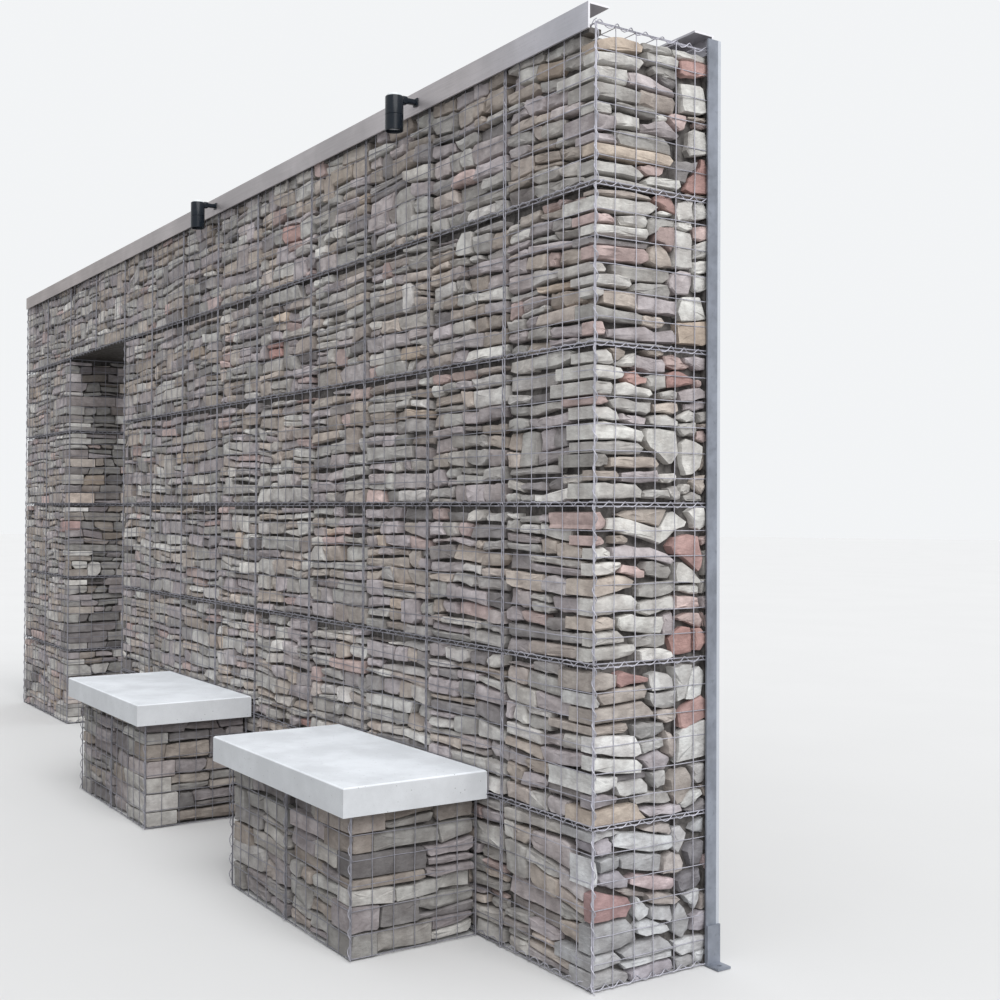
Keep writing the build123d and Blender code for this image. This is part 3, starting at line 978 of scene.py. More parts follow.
        # Thick stones may be split in two, and very thick ones have blunter corners
        thick = sum(highs) / 2 - sum(lows) / 2
        large = corner is None and thick > self.row * 0.94 and right - left > 0.09
        if large and rng.random() < self.SPLIT:
            cut = np.clip(rng.uniform(0.38, 0.62) + rng.normal(0, 0.10, 2), 0.25, 0.75)
            half = 0.0022 / thick
            for shares in (((0.0, 0.0), cut - half), (cut + half, (1.0, 1.0))):
                deeper = face + rng.uniform(0, 0.007)
                colour = self.pick(run, left, right, lows, highs)
                self.stone(run.leg.place, shape(*shares), colour, reach, deeper, run.plain)
            return
        colour = self.pick(run, left, right, lows, highs)
        chip = 1.0 if thick < self.row * 1.22 else 1.8
        whole = shape((0.0, 0.0), (1.0, 1.0))
        self.stone(run.leg.place, whole, colour, reach, face, run.plain, flush, chip)

    def pick(self, run, left, right, lows, highs):
        """The colour of a stone: that of its place, or any."""
        leg = run.leg
        for s, height, name in leg.marked:
            if left < s < right and sum(lows) / 2 < height < sum(highs) / 2:
                return self.colour(name, leg.tone)
        return self.colour(tone=leg.tone * (1 - leg.fade * (left + right) / 2 / leg.length))

    def strip(self, legs, low, high, plain=False, inset=(0.007, 0.007), corner=None, crown=0.010):
        """Rows of stones on legs that meet at outer corners, between the heights low and high.

        corner gives the levels and the depths of the stones of the next face at the end of the last leg."""
        rng = self.rng
        count = max(3, int(round((high - low) / self.row + rng.uniform(-0.9, 0.9))))
        levels, depths = corner if corner else (None, None)
        if corner:
            count = len(depths)
        rows = Rows(rng, low, high, count, sum(leg.length for leg in legs), levels)
        starts = np.concatenate([[0], np.cumsum([leg.length for leg in legs])])
        runs = [Run(leg, start, rows, count, plain, crown) for leg, start in zip(legs, starts)]
        spans = self.spans(legs, count, inset, depths)
        taken = self.tall_stones(runs, spans, self.TALL_BY_CORNER if corner else self.TALL)
        for row, (left, right, corner_ends) in enumerate(spans):
            for index, run in enumerate(runs):
                gaps = [x for gap in sorted(taken[row][index]) for x in gap]
                edges = [left[index]] + gaps + [run.leg.length - right[index]]
                for start, end in zip(edges[::2], edges[1::2]):
                    marks = self.joints(start, end, self.length)
                    leans = [0.0] + [float(rng.normal(0, 0.005)) for mark in marks[1:-1]] + [0.0]
                    turns = {}
                    if start == edges[0] and "left" in corner_ends[index]:
                        turns[0] = ("left", corner_ends[index]["left"])
                    if end == edges[-1] and "right" in corner_ends[index]:
                        turns[len(marks) - 2] = ("right", corner_ends[index]["right"])
                    for k in range(len(marks) - 1):
                        left_x, right_x = marks[k : k + 2]
                        self.lay(run, row, row + 1, left_x, right_x, leans[k : k + 2], turns.get(k))

    def spans(self, legs, count, inset, depths):
        """How far from each leg's ends the stones of each row begin, and where they turn a corner."""
        rng = self.rng
        inner = [0.0] * (len(legs) - 1)
        first_through = [int(rng.random() < 0.5) for leg in legs]
        spans = []
        for row in range(count):
            left = [inset[0]] + inner
            right = inner + [depths[row] if depths else inset[1]]
            ends = [{} for leg in legs]
            for turn in range(len(legs) - 1):
                depth, face = rng.uniform(0.075, 0.17), rng.uniform(0.0052, 0.0080)
                if (row + first_through[turn] + int(rng.random() < 0.25)) % 2:
                    right[turn], left[turn + 1] = depth, face
                    ends[turn + 1]["left"] = depth
                else:
                    right[turn], left[turn + 1] = face, depth
                    ends[turn]["right"] = depth
            spans.append((left, right, ends))
        return spans

    def tall_stones(self, runs, spans, chance):
        """Lays some stones two rows tall. Gives the places that they take in each row of each run."""
        rng = self.rng
        taken = [[[] for run in runs] for row in spans]
        for row in range(len(spans) - 1):
            for index, run in enumerate(runs):
                if rng.random() < chance * run.leg.length / CELL and not taken[row][index]:
                    first, last = (
                        max(spans[row][side][index], spans[row + 1][side][index]) for side in (0, 1)
                    )
                    first, last = first + 0.05, run.leg.length - last - 0.05
                    width = rng.uniform(0.055, 0.13)
                    if last - first > width:
                        at = rng.uniform(first, last - width)
                        for near_row in (row, row + 1):
                            taken[near_row][index].append((at, at + width))
                        self.lay(run, row, row + 2, at, at + width)
        return taken

    def box(self, low, high):
        """A closed box of inner rubble, dark with painted shade."""
        x, y, z = (np.array([a, b]) for a, b in zip(low, high))
        points = [(x[i], y[j], z[k]) for k in (0, 1) for j in (0, 1) for i in (0, 1)]
        quads = [(0, 2, 3, 1), (4, 5, 7, 6), (0, 1, 5, 4), (2, 6, 7, 3), (0, 4, 6, 2), (1, 3, 7, 5)]
        faces = [t for a, b, c, d in quads for t in ((a, b, c), (a, c, d))]
        self.heap.add(points, faces, kind=1)

    def near_end(self, leg, course):
        """The stones of the near end. Gives the levels and depths of those that turn the front corner."""
        rng = self.rng
        turning = []
        for line in END_STONES[course].split("\n"):
            name, *pairs = line.split()
            corners = np.array([[float(v) for v in pair.split(",")] for pair in pairs]) / 1000
            corners[:, 1] += course * COURSE
            # A stone at the front corner shows on the front too, one at the back corner on the back
            flush = -1 if corners[:, 0].min() < 0.012 else 0
            reach = rng.uniform(0.10, 0.115)
            if flush:
                reach = float(np.clip(0.11 * math.exp(rng.normal(0, 0.4)), 0.06, 0.22))
                if name == "red":
                    reach = 0.045
                at_corner = corners[corners[:, 0] < 0.016][:, 1]
                turning.append((at_corner.min(), at_corner.max(), reach))
            face = 0.030 if name.endswith("*") else FACE + min(rng.gamma(1.6, 0.0028), 0.012)
            if corners[:, 0].max() > 0.44:
                flush, reach = 1, 0.05
            # The near end's two lowest courses get painted shade
            colour = self.colour(name.strip("*"), END_SHADE_TONES[min(course, 2)])
            self.stone(leg.place, corners, colour, reach, face, False, flush, 0.4)
        turning.sort()
        between = [(a[1] + b[0]) / 2 for a, b in zip(turning[:-1], turning[1:])]
        low, high = course_range(course)
        return np.array([low, *between, high]), [reach + 0.0015 for _, _, reach in turning]

    def lid(self, low, high, top):
        """Flat stones inside the lid, in rows along X between two corners."""
        rng = self.rng
        y = low[1]
        while y < high[1] - 0.01:
            width = min(rng.uniform(0.065, 0.11), high[1] - y)
            marks = self.joints(low[0], high[0], self.length * 1.2)
            for left, right in zip(marks[:-1], marks[1:]):
                drop = float(rng.uniform(0.0, 0.012))

                def place(s, depth, across, y=y, drop=drop):
                    return np.stack([s, y + across, top - drop - depth], axis=1)

                near, far = rng.uniform(0.001, 0.006, 2), width - rng.uniform(0.001, 0.006, 2)
                left, right = left + 0.002, right - 0.002
                corners = [(left, near[0]), (right, near[1]), (right, far[1]), (left, far[0])]
                self.stone(place, corners, self.colour(), 0.05, 0.006, True)
            y += width

    def finish(self, name, node):
        declare(self.heap.mesh(name, STONE_FINISH, 30, True), "sandstone", node)


def lay_course(name, node, lines, course, settings, ends):
    """The stones of one course of a block of cells. ends says whether its near and far ends are faces."""
    mason = Mason(settings, settings.seed * 1000 + course * 17 + len(lines))
    low, high = course_range(course)
    if node == "top_course_over_doorway":
        low = LINTEL_TOP + 0.002
    is_top = course == COURSES - 1
    crown = 0.001 if is_top else 0.012
    cells = list(zip(lines[:-1], lines[1:]))
    for index, (x_high, x_low) in enumerate(cells):
        first, last = index == 0 and ends[0], index == len(cells) - 1 and ends[1]
        plain = x_high < PLAIN_FROM
        marked = [(NEAR_END - distance - x_low, z, colour) for distance, z, colour in FRONT_STONES]
        front = Leg((x_low, FRONT), (x_high, FRONT), FRONT_TONES[int(plain)], marked=marked)
        back = Leg((x_high, BACK), (x_low, BACK))
        at_near_end = first and lines[0] == NEAR_END
        if at_near_end:
            turning = mason.near_end(Leg((x_high, FRONT), (x_high, BACK)), course)
            mason.strip([front], low, high, corner=turning, crown=crown)
            back = Leg((x_high - 0.105, BACK), (x_low, BACK))
            mason.strip([back], low, high, True, (0.0, 0.007), crown=crown)
        elif first:
            # Painted shade on the doorway's far side: darker in its top course, under the lintel, and
            # darker towards the back
            shade = 0.84 if course == DOOR_COURSES - 1 else 1.0
            across = Leg((x_high, FRONT), (x_high, BACK), REVEAL_SHADE * shade, 0.36)
            mason.strip([front, across, back], low, high, True, crown=crown)
        elif last:
            across = Leg((x_low, BACK), (x_low, FRONT))
            mason.strip([back, across, front], low, high, True, crown=crown)
        else:
            mason.strip([front], low, high, plain, crown=crown)
            mason.strip([back], low, high, True, crown=crown)
        # Dark rubble behind the stones, so that no light shows between them; its dark colour is painted
        # shade
        x_from = x_low + (CORE_INSET if last else -0.001)
        x_to = x_high - (CORE_INSET if first else -0.001)
        foot, core_top = low - 0.003, high + (-0.055 if is_top else 0.010)
        mason.box((x_from, FRONT + CORE_INSET, foot), (x_to, BACK - CORE_INSET, core_top))
        if last:
            # Close behind the corner stones
            for y, way in ((FRONT, 1), (BACK, -1)):
                near, far = sorted((y + way * CORNER_INSET, y + way * CORNER_FILL))
                mason.box((x_low + CORNER_INSET, near, low), (x_low + CORNER_FILL, far, high - 0.008))
        if at_near_end:
            # Behind the near end's stones at the back, and in the slit beside the post
            mason.box((x_to - 0.05, FRONT + 0.33, foot), (x_high - 0.034, BACK - 0.014, core_top))
            slit_top = high + (-0.010 if is_top else 0.010)
            mason.box((x_to, BACK - 0.024, foot), (x_high - 0.016, BACK - 0.006, slit_top))
        if is_top:
            # Along the front, just under the lid: a dark strip that paints the coping's shadow on the top
            # row
            under_lid = (x_to, FRONT + CORE_INSET + 0.01, WALL_TOP - 0.0035)
            mason.box((x_from, FRONT + 0.0115, high - 0.016), under_lid)
    if is_top:
        near_side = lines[0] - 0.06 * ends[0]
        mason.lid((lines[-1] + 0.01, FRONT + 0.05), (near_side, BACK - 0.05), WALL_TOP - 0.006)
        if ends[0]:
            low_corner, high_corner = (lines[0] - 0.13, BACK - 0.10), (lines[0] - 0.045, BACK - 0.012)
            mason.lid(low_corner, high_corner, WALL_TOP - 0.009)
    mason.finish(name, node)


def lay_bench(name, node, settings):
    """The stones of one bench, which fill its basket of wires round the node's solid."""
    low_corner, high_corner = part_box(node)
    seed = settings.seed * 977 + int(high_corner.x * 100)
    mason = Mason(settings, seed, BENCH_TONE, BENCH_SIZE, BENCH_SHARES)
    rim = 0.008
    x_low, x_high = low_corner.x - rim, high_corner.x + rim
    y_low, y_high = low_corner.y - rim, high_corner.y + rim
    middle = (x_low + x_high) / 2
    low, high = 0.004, high_corner.z - 0.002
    marked = [BENCH_STONE] if node.startswith("far") else ()
    far_side = Leg((x_low, y_high), (x_low, y_low))
    front_far = Leg((x_low, y_low), (middle, y_low))
    front_near = Leg((middle, y_low), (x_high, y_low))
    # Its near side is a little darker: painted shade of the plants that hang over it
    near_side = Leg((x_high, y_low), (x_high, y_high), 0.93, marked=marked)
    mason.strip([far_side, front_far], low, high, crown=0.002)
    mason.strip([front_near, near_side], low, high, crown=0.002)
    core_low = (x_low + CORE_INSET, y_low + CORE_INSET, 0.002)
    mason.box(core_low, (x_high - CORE_INSET, y_high - 0.004, high - 0.003))
    mason.finish(name, node)


# Wires


def add_wire(heap, points, radius, sides, guide):
    """A round wire through the points. guide is any direction not along the wire."""
    points = np.asarray(points, float)
    tangent = np.gradient(points, axis=0)
    tangent /= np.linalg.norm(tangent, axis=1)[:, None]
    normal = guide - (tangent @ guide)[:, None] * tangent
    normal /= np.linalg.norm(normal, axis=1)[:, None]
    other = np.cross(tangent, normal)
    angles = np.arange(sides) * 2 * math.pi / sides
    rings = (
        points[:, None, :]
        + radius * np.cos(angles)[None, :, None] * normal[:, None, :]
        + radius * np.sin(angles)[None, :, None] * other[:, None, :]
    )
    count = len(points)
    i, j = np.meshgrid(np.arange(count - 1), np.arange(sides), indexing="ij")
    i, j = i.ravel(), j.ravel()
    k = (j + 1) % sides
    a, b, c, d = i * sides + j, i * sides + k, (i + 1) * sides + k, (i + 1) * sides + j
    faces = np.concatenate([np.stack([a, b, c], 1), np.stack([a, c, d], 1)])
    start = [(0, s + 1, s) for s in range(1, sides - 1)]
    last = (count - 1) * sides
    end = [(last, last + s, last + s + 1) for s in range(1, sides - 1)]
    heap.add(rings.reshape(-1, 3), np.concatenate([faces, start, end]))


class Panel:
    """One welded mesh panel: a corner, its two edge directions and lengths, and its outward direction."""

    def __init__(self, corner, across, width, up, height, outward):
        self.corner, self.across, self.up, self.outward = (
            np.array(v, float) for v in (corner, across, up, outward)
        )
        self.sizes = (width, height)

    def point(self, a, b, proud):
        """Points at a and b along the two edges, proud of the panel's plane."""
        a, b, proud = (np.broadcast_to(x, np.shape(a + b + proud)) for x in (a, b, proud))
        return self.corner + np.outer(a, self.across) + np.outer(b, self.up) + np.outer(proud, self.outward)


def weave_panel(heap, rng, panel, wires, sides):
    """The wires of one panel, first up and then across, slightly bowed where stones press on them."""
    for way in (0, 1):
        width, length = panel.sizes[way], panel.sizes[1 - way]
        squares = int(round(width / wires.square))
        places = [EDGE, *(width * step / squares for step in range(1, squares)), width - EDGE]
        steps = max(4, int(round(length / wires.square)))
        along = np.linspace(EDGE * 0.6, length - EDGE * 0.6, steps + 1)
        for index, place in enumerate(places):
            rim = index in (0, len(places) - 1)
            radius = wires.edge_radius if rim else wires.mesh_radius
            bend, shift, wobble = EDGE_STRAY if rim else MESH_STRAY
            bow = rng.normal(0, bend, steps + 1)
            bow[0] = bow[-1] = 0.0
            at = place + (rng.normal(0, shift) + rng.normal(0, wobble, steps + 1))
            depth = -(WIRE_DEPTH + way * 2 * wires.mesh_radius) + np.clip(bow, -0.002, 0.004)
            a, b = (at, along) if way == 0 else (along, at)
            add_wire(heap, panel.point(a, b, depth), radius, sides, panel.outward)


def coil(heap, rng, start, end, wires, outward, fineness, slack=1.0):
    """A coiled binder wire round the edge wires along a line. A slack below 1 makes it tighter."""
    steps, sides = fineness
    start, end, outward = (np.array(v, float) for v in (start, end, outward))
    way = end - start
    length = np.linalg.norm(way)
    way /= length
    side = np.cross(way, outward)
    turns = max(1, int(round(length / wires.pitch)))
    t = np.linspace(0, 1, turns * steps + 1)
    phase = TURN * turns * t + rng.uniform(0, MOST_START)
    phase = phase + 0.5 * np.sin(phase * 0.31 + rng.uniform(0, MOST_START))
    wide = slack * wires.coil_radius * (1 + 0.14 * np.sin(phase * 0.173 + rng.uniform(0, MOST_START)))
    deep = slack * wires.coil_radius * 0.62
    points = (
        start
        + np.outer(t * length, way)
        + (wide * np.cos(phase))[:, None] * side
        + (deep * np.sin(phase))[:, None] * outward
    )
    add_wire(heap, points, wires.binder_radius, sides, way)


def binder_height(course):
    """Height of the binders at the foot of a course, or at the top of the wall."""
    return min(max(course * COURSE, FIRST_BINDER), WALL_TOP - LAST_BINDER)


def finish_wires(heap, name, *nodes):
    declare(heap.mesh(name, ["zinc_wire"], 75), "galvanised_wire", *nodes)


# Turned and rounded pieces, and the finish of the CAD's own


def lathe(name, profile, centre):
    """A turned solid. profile is (radius, height) from its axis and back to it."""
    bpy.ops.object.select_all(action="DESELECT")
    bpy.ops.mesh.primitive_plane_add(size=0.01, location=centre)
    made = bpy.context.active_object
    made.name = made.data.name = name
    bpy.ops.object.transform_apply(location=True, rotation=True, scale=True)
    bpy.ops.object.mode_set(mode="EDIT")
    bpy.ops.mesh.select_all(action="SELECT")
    bpy.ops.mesh.merge(type="CENTER")
    at = Vector((0.0, 0.0))
    for index, (radius, height) in enumerate(profile):
        step = (radius - at.x, 0.0, height - at.y)
        if index == 0:
            bpy.ops.transform.translate(value=step)
        else:
            bpy.ops.mesh.extrude_region_move(TRANSFORM_OT_translate={"value": step})
        at = Vector((radius, height))
    bpy.ops.mesh.select_all(action="SELECT")
    bpy.ops.mesh.spin(steps=32, angle=2 * math.pi, center=centre, axis=(0.0, 0.0, 1.0))
    bpy.ops.mesh.select_all(action="SELECT")
    bpy.ops.mesh.remove_doubles(threshold=0.00005)
    bpy.ops.mesh.normals_make_consistent(inside=False)
    bpy.ops.object.mode_set(mode="OBJECT")
    bpy.ops.object.shade_smooth_by_angle(angle=math.radians(35))
    return made


def block(name, low, high, round_edges):
    """A solid between two corners with rounded edges."""
    low, high = Vector(low), Vector(high)
    bpy.ops.object.select_all(action="DESELECT")
    bpy.ops.mesh.primitive_cube_add(size=1.0, location=(low + high) / 2)
    made = bpy.context.active_object
    made.name = made.data.name = name
    made.scale = high - low
    bpy.ops.object.transform_apply(location=True, rotation=True, scale=True)
    bpy.ops.object.mode_set(mode="EDIT")
    bpy.ops.mesh.select_all(action="SELECT")
    bpy.ops.mesh.bevel(offset=round_edges, segments=3, affect="EDGES")
    bpy.ops.object.mode_set(mode="OBJECT")
    bpy.ops.object.shade_smooth_by_angle(angle=math.radians(40))
    return made


def join(name, pieces):
    """Joins pieces in the first one."""
    pick_only(*pieces)
    bpy.ops.object.join()
    made = bpy.context.active_object
    made.name = made.data.name = name
    bpy.ops.object.transform_apply(location=True, rotation=True, scale=True)
    return made


def coat(made, material):
    made.data.materials.clear()
    made.data.materials.append(material)


def coat_nodes(nodes, material):
    """Gives carried-over CAD nodes their finish."""
    for node in nodes:
        coat(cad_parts[node], material)


# The steps, one operator each


class GABION_OT_wall_stones(bpy.types.Operator):
    """Lay the stones of every course of the wall"""

    bl_idname = "gabion.wall_stones"
    bl_label = "Wall stones"

    def execute(self, context):
        stones = context.scene.gabion_stones
        stone_material()
        core_material()
        for course in range(DOOR_COURSES):
            for part, lines in (("near", NEAR_LINES), ("far", FAR_LINES)):
                name, node = f"stones_{course + 1}_{part}", f"stone_course_{course + 1}_{part}"
                lay_course(name, node, lines, course, stones, (True, True))
        for part, lines, ends in (
            ("near", NEAR_LINES, (True, False)),
            ("over_doorway", OVER_LINES, (False, False)),
            ("far", FAR_LINES, (False, True)),
        ):
            lay_course(f"stones_top_{part}", f"top_course_{part}", lines, COURSES - 1, stones, ends)
        return {"FINISHED"}


class GABION_OT_bench_stones(bpy.types.Operator):
    """Lay the stones of the two benches"""

    bl_idname = "gabion.bench_stones"
    bl_label = "Bench stones"

    def execute(self, context):
        for side in ("near", "far"):
            lay_bench(f"{side}_bench_rubble", f"{side}_bench_stones", context.scene.gabion_stones)
        return {"FINISHED"}


class GABION_OT_mesh_panels(bpy.types.Operator):
    """Weld the mesh panels of the long sides, the ends, the doorway, the lid and the benches"""

    bl_idname = "gabion.mesh_panels"
    bl_label = "Mesh panels"

    def execute(self, context):
        wires = context.scene.gabion_wires
        fade = (NEAR_END - 0.75, NEAR_END - 0.05, 0.55)
        zinc_material("zinc_wire", tuple(wires.zinc), 240.0, fade)
        rng = np.random.default_rng(MESH_SEED)
        for side, y, way in LONG_SIDES:
            heap = Heap()
            for x_high, x_low, first in CELLS:
                sides = ROUND_SIDES if side == "front" and x_high > ROUND_FROM else WIRE_SIDES
                for course in range(first, COURSES):
                    corner = (x_high, y, course * COURSE)
                    panel = Panel(corner, (-1, 0, 0), x_high - x_low, UP, COURSE, (0, way, 0))
                    weave_panel(heap, rng, panel, wires, sides)
            nodes = [f"{side}_frame_{part}" for part in ("near", "far", "over_doorway")]
            finish_wires(heap, f"{side}_mesh", *nodes)
        heap = Heap()
        for x, way, courses in END_FACES:
            for course in range(courses):
                corner = (x, FRONT, course * COURSE)
                panel = Panel(corner, (0, 1, 0), THICKNESS, UP, COURSE, (way, 0, 0))
                weave_panel(heap, rng, panel, wires, ROUND_SIDES)
        nodes = ("near_end_frame", "far_end_frame", "doorway_near_frame", "doorway_far_frame")
        finish_wires(heap, "end_mesh", *nodes)
        heap = Heap()
        for x_high, x_low, _ in CELLS:
            corner = (x_high, FRONT, WALL_TOP)
            panel = Panel(corner, (-1, 0, 0), x_high - x_low, (0, 1, 0), THICKNESS, UP)
            weave_panel(heap, rng, panel, wires, WIRE_SIDES)
        finish_wires(heap, "lid_mesh", "lid_frame")
        for side in ("near", "far"):
            self.bench(rng, wires, side)
        return {"FINISHED"}

    def bench(self, rng, wires, side):
        """The mesh of one bench: two panels in front, one on each side, and coils at their joints."""
        node = f"{side}_bench_basket"
        low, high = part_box(node)
        half = (high.x - low.x) / 2
        heap = Heap()
        for start in (low.x, low.x + half):
            panel = Panel((start, low.y, 0), (1, 0, 0), half, UP, high.z, (0, -1, 0))
            weave_panel(heap, rng, panel, wires, ROUND_SIDES)
        for x, way in ((high.x, 1), (low.x, -1)):
            panel = Panel((x, low.y, 0), (0, 1, 0), high.y - low.y, UP, high.z, (way, 0, 0))
            weave_panel(heap, rng, panel, wires, ROUND_SIDES)
        for x in (low.x, low.x + half, high.x):
            foot, top = (x, low.y, 0.005), (x, low.y, high.z - 0.005)
            coil(heap, rng, foot, top, wires, (0, -1, 0), FINE_COIL)
        finish_wires(heap, f"{side}_bench_mesh", node)


class GABION_OT_binders(bpy.types.Operator):
    """Wind the coiled binders along the joints between the baskets"""

    bl_idname = "gabion.binders"
    bl_label = "Coiled binders"

    def execute(self, context):
        wires = context.scene.gabion_wires
        rng = np.random.default_rng(BINDER_SEED)
        uprights = [(x, 0) for x in NEAR_LINES + FAR_LINES] + [(x, DOOR_COURSES) for x in OVER_LINES[1:-1]]
        for side, y, way in LONG_SIDES:
            heap = Heap()
            outward, level = (0, way, 0), y - WIRE_DEPTH * way
            fineness = FINE_COIL if side == "front" else PLAIN_COIL
            for x_high, x_low, first in CELLS:
                for course in range(first, COURSES + 1):
                    z = binder_height(course)
                    coil(heap, rng, (x_high, level, z), (x_low, level, z), wires, outward, fineness)
            for x, first in uprights:
                # Tighter away from the wall's corners, and tightest at the back corners, beside the posts
                slack = 0.6
                if x in (NEAR_END, FAR_END):
                    slack = 1.0 if side == "front" else 0.4
                for course in range(first, COURSES):
                    start, end = (x, level, course * COURSE), (x, level, (course + 1) * COURSE)
                    coil(heap, rng, start, end, wires, outward, fineness, slack)
            finish_wires(heap, f"{side}_binders")
        heap = Heap()
        for x, way, courses in END_FACES:
            # The doorway's sides have no binder at their top, where the lintel plate lies
            lines = courses + 1 if courses == COURSES else courses
            level = x - WIRE_DEPTH * way
            for z in map(binder_height, range(lines)):
                coil(heap, rng, (level, FRONT, z), (level, BACK, z), wires, (way, 0, 0), FINE_COIL)
        z = binder_height(COURSES)
        for x in NEAR_LINES[1:] + OVER_LINES[1:-1] + FAR_LINES[:-1]:
            coil(heap, rng, (x, FRONT, z), (x, BACK, z), wires, UP, PLAIN_COIL)
        finish_wires(heap, "cross_binders")
        return {"FINISHED"}


class GABION_OT_steelwork(bpy.types.Operator):
    """Finish the copings, cleats, posts, feet and lintel"""

    bl_idname = "gabion.steelwork"
    bl_label = "Copings and posts"

    def execute(self, context):
        steel = context.scene.gabion_steel
        post = tuple(steel.post)
        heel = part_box("near_end_post")[1].y
        # A painted highlight along each post's outer corner
        edge = (heel - 0.0125, heel - 0.0105, tuple(steel.post_highlight))
        coat_nodes(("front_coping", "back_coping"), coping_material(tuple(steel.coping)))
        plain = zinc_material("zinc_steel", post, 70.0)
        highlighted = zinc_material("zinc_post_highlight", post, 70.0, edge=edge)
        # The lintel's dark colour is painted shade
        lintel = zinc_material("lintel_painted_shade", tuple(steel.lintel), 40.0)
        for material, *nodes in (
            (plain, "front_coping_cleats", "back_coping_cleats", "post_feet"),
            (highlighted, "near_end_post", "far_end_post"),
            (lintel, "lintel_plate"),
        ):
            coat_nodes(nodes, material)
        return {"FINISHED"}


class GABION_OT_lamps(bpy.types.Operator):
    """Model the two hanging lamps"""

    bl_idname = "gabion.lamps"
    bl_label = "Lamps"

    def execute(self, context):
        lamps = context.scene.gabion_lamps
        low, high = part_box("lamp_housings")
        lens_low, lens_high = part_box("lamp_lenses")
        arm_low, arm_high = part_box("lamp_arms")
        radius, rim = (high.y - low.y) / 2, (lens_high.y - lens_low.y) / 2
        tall, recess, dome = high.z - low.z, lens_low.z - low.z, lens_high.z - high.z
        y, arm_z, half = (low.y + high.y) / 2, (arm_high.z + arm_low.z) / 2, (arm_high.z - arm_low.z) / 2
        joint = tall * 0.46
        housing = [
            (0.0, recess), (rim, recess), (rim, 0.0015), (rim + 0.001, 0.0), (radius - 0.0015, 0.0),
            (radius, 0.0015), (radius, joint - 0.0012), (radius - 0.0012, joint), (radius, joint + 0.0012),
            (radius, tall - 0.003), (radius - 0.0008, tall - 0.0008), (radius - 0.003, tall), (0.0, tall),
        ]
        lower = [
            (0.0, -0.003), (0.012, -0.0024), (0.021, -0.0012),
            (rim - 0.0002, 0.0), (rim - 0.0002, 0.0035), (0.0, 0.0035),
        ]
        upper = [(0.0, -0.0005), (rim, -0.0005), (rim, 0.002)]
        for angle in range(15, 90, 15):
            turn = math.radians(angle)
            upper.append((rim * math.cos(turn), 0.002 + (dome - 0.002) * math.sin(turn)))
        upper.append((0.0, 0.002 + (dome - 0.002)))
        # Where the arm meets the housing, and the parts of the arm: ends, half width, down, up, rounding
        side = y + radius * 0.82
        arm = (
            ("plate", arm_high.y - 0.006, arm_high.y, half, half, half, 0.0018),
            ("bar", side, arm_high.y - 0.004, 0.010, 0.009, 0.009, 0.004),
            ("knuckle", side, side + 0.022, 0.012, 0.015, 0.013, 0.005),
        )
        housings, lenses, arms = [], [], []
        for x in (low.x + radius, high.x - radius):
            housings.append(lathe("housing", housing, Vector((x, y, low.z))))
            lenses.append(lathe("lens", lower, Vector((x, y, lens_low.z))))
            lenses.append(lathe("lens", upper, Vector((x, y, high.z))))
            for name, near, far, wide, down, up, edge in arm:
                arms.append(block(name, (x - wide, near, arm_z - down), (x + wide, far, arm_z + up), edge))
        black, glass = black_material(tuple(lamps.black)), glass_material(tuple(lamps.glass))
        for name, parts, material, node, slot in (
            ("lamp_bodies", housings, black, "lamp_housings", "black_metal"),
            ("lamp_lens_discs", lenses, glass, "lamp_lenses", "lamp_glass"),
            ("lamp_brackets", arms, black, "lamp_arms", "black_metal"),
        ):
            made = join(name, parts)
            coat(made, material)
            declare(made, slot, node)
        return {"FINISHED"}


class GABION_OT_bench_caps(bpy.types.Operator):
    """Finish the cast caps of the benches"""

    bl_idname = "gabion.bench_caps"
    bl_label = "Bench caps"

    def execute(self, context):
        concrete = concrete_material(tuple(context.scene.gabion_caps.concrete))
        coat_nodes(("near_bench_cap", "far_bench_cap"), concrete)
        return {"FINISHED"}


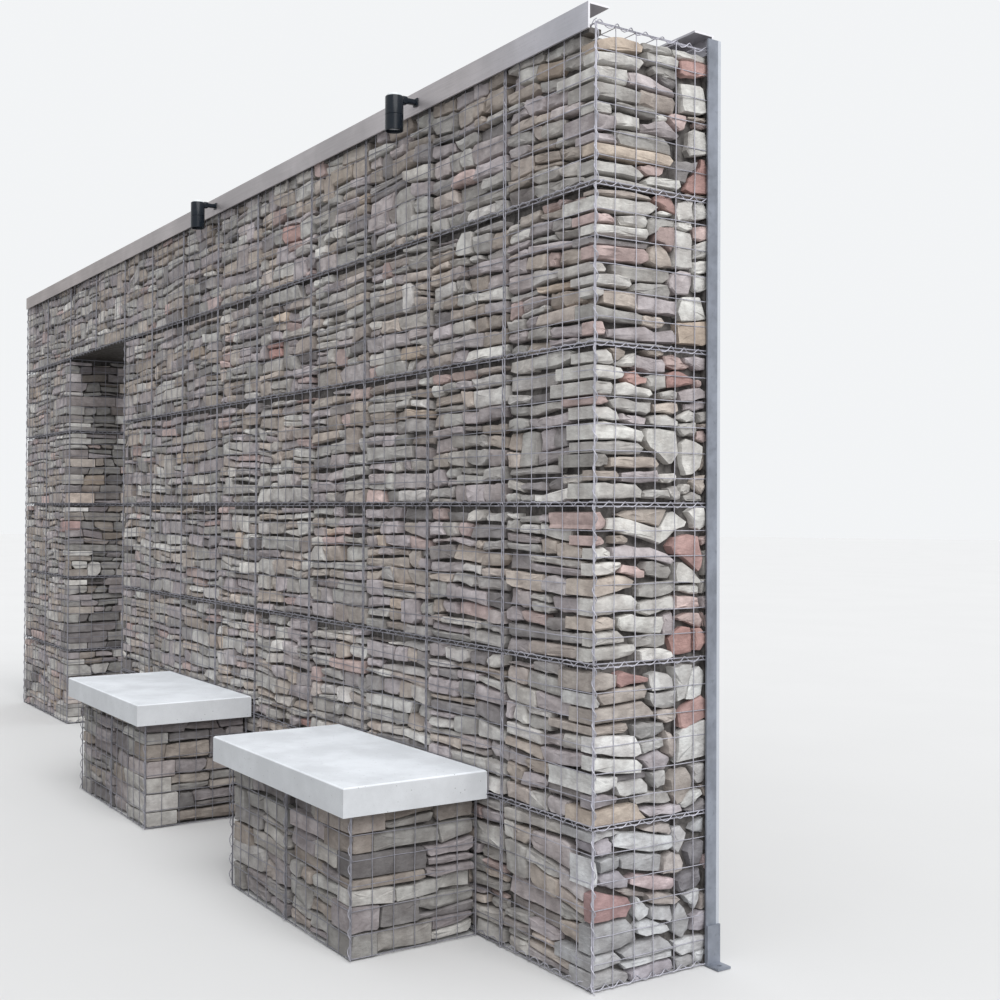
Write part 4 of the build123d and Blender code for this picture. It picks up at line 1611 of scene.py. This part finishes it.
class GABION_OT_stage(bpy.types.Operator):
    """Set the floor, the light and the camera"""

    bl_idname = "gabion.stage"
    bl_label = "Stage"

    def execute(self, context):
        settings = context.scene.gabion_stage
        bpy.ops.object.select_all(action="DESELECT")
        bpy.ops.mesh.primitive_circle_add(
            vertices=96, radius=60.0, fill_type="NGON", location=(0, 0, -0.002)
        )
        floor = context.active_object
        floor.name = "floor"
        bpy.ops.object.transform_apply(location=True)
        r, place = recipe("pale_floor")
        tone = tuple(settings.floor)
        shown = r.mix(r.ramp(r.noise(place, 0.8), 0.3, 0.7), toned(tone, 0.985), tone)
        colour = r.mix(r.direct_rays(), toned(tone, 0.42), shown)
        floor.data.materials.append(r.finish(Base_Color=colour, Roughness=0.9, Specular_IOR_Level=0.1))

        sky = Nodes(bpy.data.worlds.new("studio"), "Background")
        strength = sky.ramp(sky.direct_rays(), 0.0, 1.0, settings.sky, BACKDROP)
        context.scene.world = sky.finish(Color=SKY_TINT, Strength=strength)

        data = bpy.data.lights.new("broad_light", "SUN")
        data.energy, data.angle = settings.sun, math.radians(SUN_SPREAD)
        sun = bpy.data.objects.new("broad_light", data)
        sun.rotation_euler = (math.radians(SUN_TILT), 0.0, math.radians(SUN_TURN))
        context.scene.collection.objects.link(sun)

        data = bpy.data.cameras.new("camera")
        data.sensor_width, data.lens = SENSOR, LENS
        data.shift_x, data.shift_y = SHIFT
        data.clip_start, data.clip_end = 0.05, 200.0
        camera = bpy.data.objects.new("camera", data)
        context.scene.collection.objects.link(camera)
        aim = Vector(CAMERA_AIM).normalized().to_track_quat("-Z", "Y")
        camera.rotation_mode = "QUATERNION"
        camera.rotation_quaternion = aim @ Euler((0.0, 0.0, CAMERA_ROLL)).to_quaternion()
        camera.location = CAMERA_PLACE
        context.scene.camera = camera
        context.scene.view_settings.view_transform = "Standard"
        return {"FINISHED"}


class GABION_PT_panel(bpy.types.Panel):
    """Lists the pieces and their sizes"""

    bl_idname = "GABION_PT_panel"
    bl_label = "Gabion Wall"
    bl_space_type = "VIEW_3D"
    bl_region_type = "UI"
    bl_category = "Gabion"

    def draw(self, context):
        for settings, steps in LAYOUT:
            box = self.layout.box()
            group = getattr(context.scene, settings)
            for key in group.__annotations__:
                box.prop(group, key)
            for step in steps:
                box.operator(step)


LAYOUT = (
    ("gabion_stones", ("gabion.wall_stones", "gabion.bench_stones")),
    ("gabion_wires", ("gabion.mesh_panels", "gabion.binders")),
    ("gabion_steel", ("gabion.steelwork",)),
    ("gabion_lamps", ("gabion.lamps",)),
    ("gabion_caps", ("gabion.bench_caps",)),
    ("gabion_stage", ("gabion.stage",)),
)
GROUPS = {
    "gabion_stones": StoneSettings,
    "gabion_wires": WireSettings,
    "gabion_steel": SteelSettings,
    "gabion_lamps": LampSettings,
    "gabion_caps": CapSettings,
    "gabion_stage": StageSettings,
}
CLASSES = (
    *GROUPS.values(),
    GABION_OT_wall_stones,
    GABION_OT_bench_stones,
    GABION_OT_mesh_panels,
    GABION_OT_binders,
    GABION_OT_steelwork,
    GABION_OT_lamps,
    GABION_OT_bench_caps,
    GABION_OT_stage,
    GABION_PT_panel,
)


def register():
    for cls in CLASSES:
        bpy.utils.register_class(cls)
    for name, group in GROUPS.items():
        setattr(bpy.types.Scene, name, PointerProperty(type=group))


def unregister():
    for name in GROUPS:
        delattr(bpy.types.Scene, name)
    for cls in reversed(CLASSES):
        bpy.utils.unregister_class(cls)


def main():
    register()
    bpy.ops.gabion.wall_stones()
    bpy.ops.gabion.bench_stones()
    bpy.ops.gabion.mesh_panels()
    bpy.ops.gabion.binders()
    bpy.ops.gabion.steelwork()
    bpy.ops.gabion.lamps()
    bpy.ops.gabion.bench_caps()
    bpy.ops.gabion.stage()


if __name__ == "__main__":
    main()
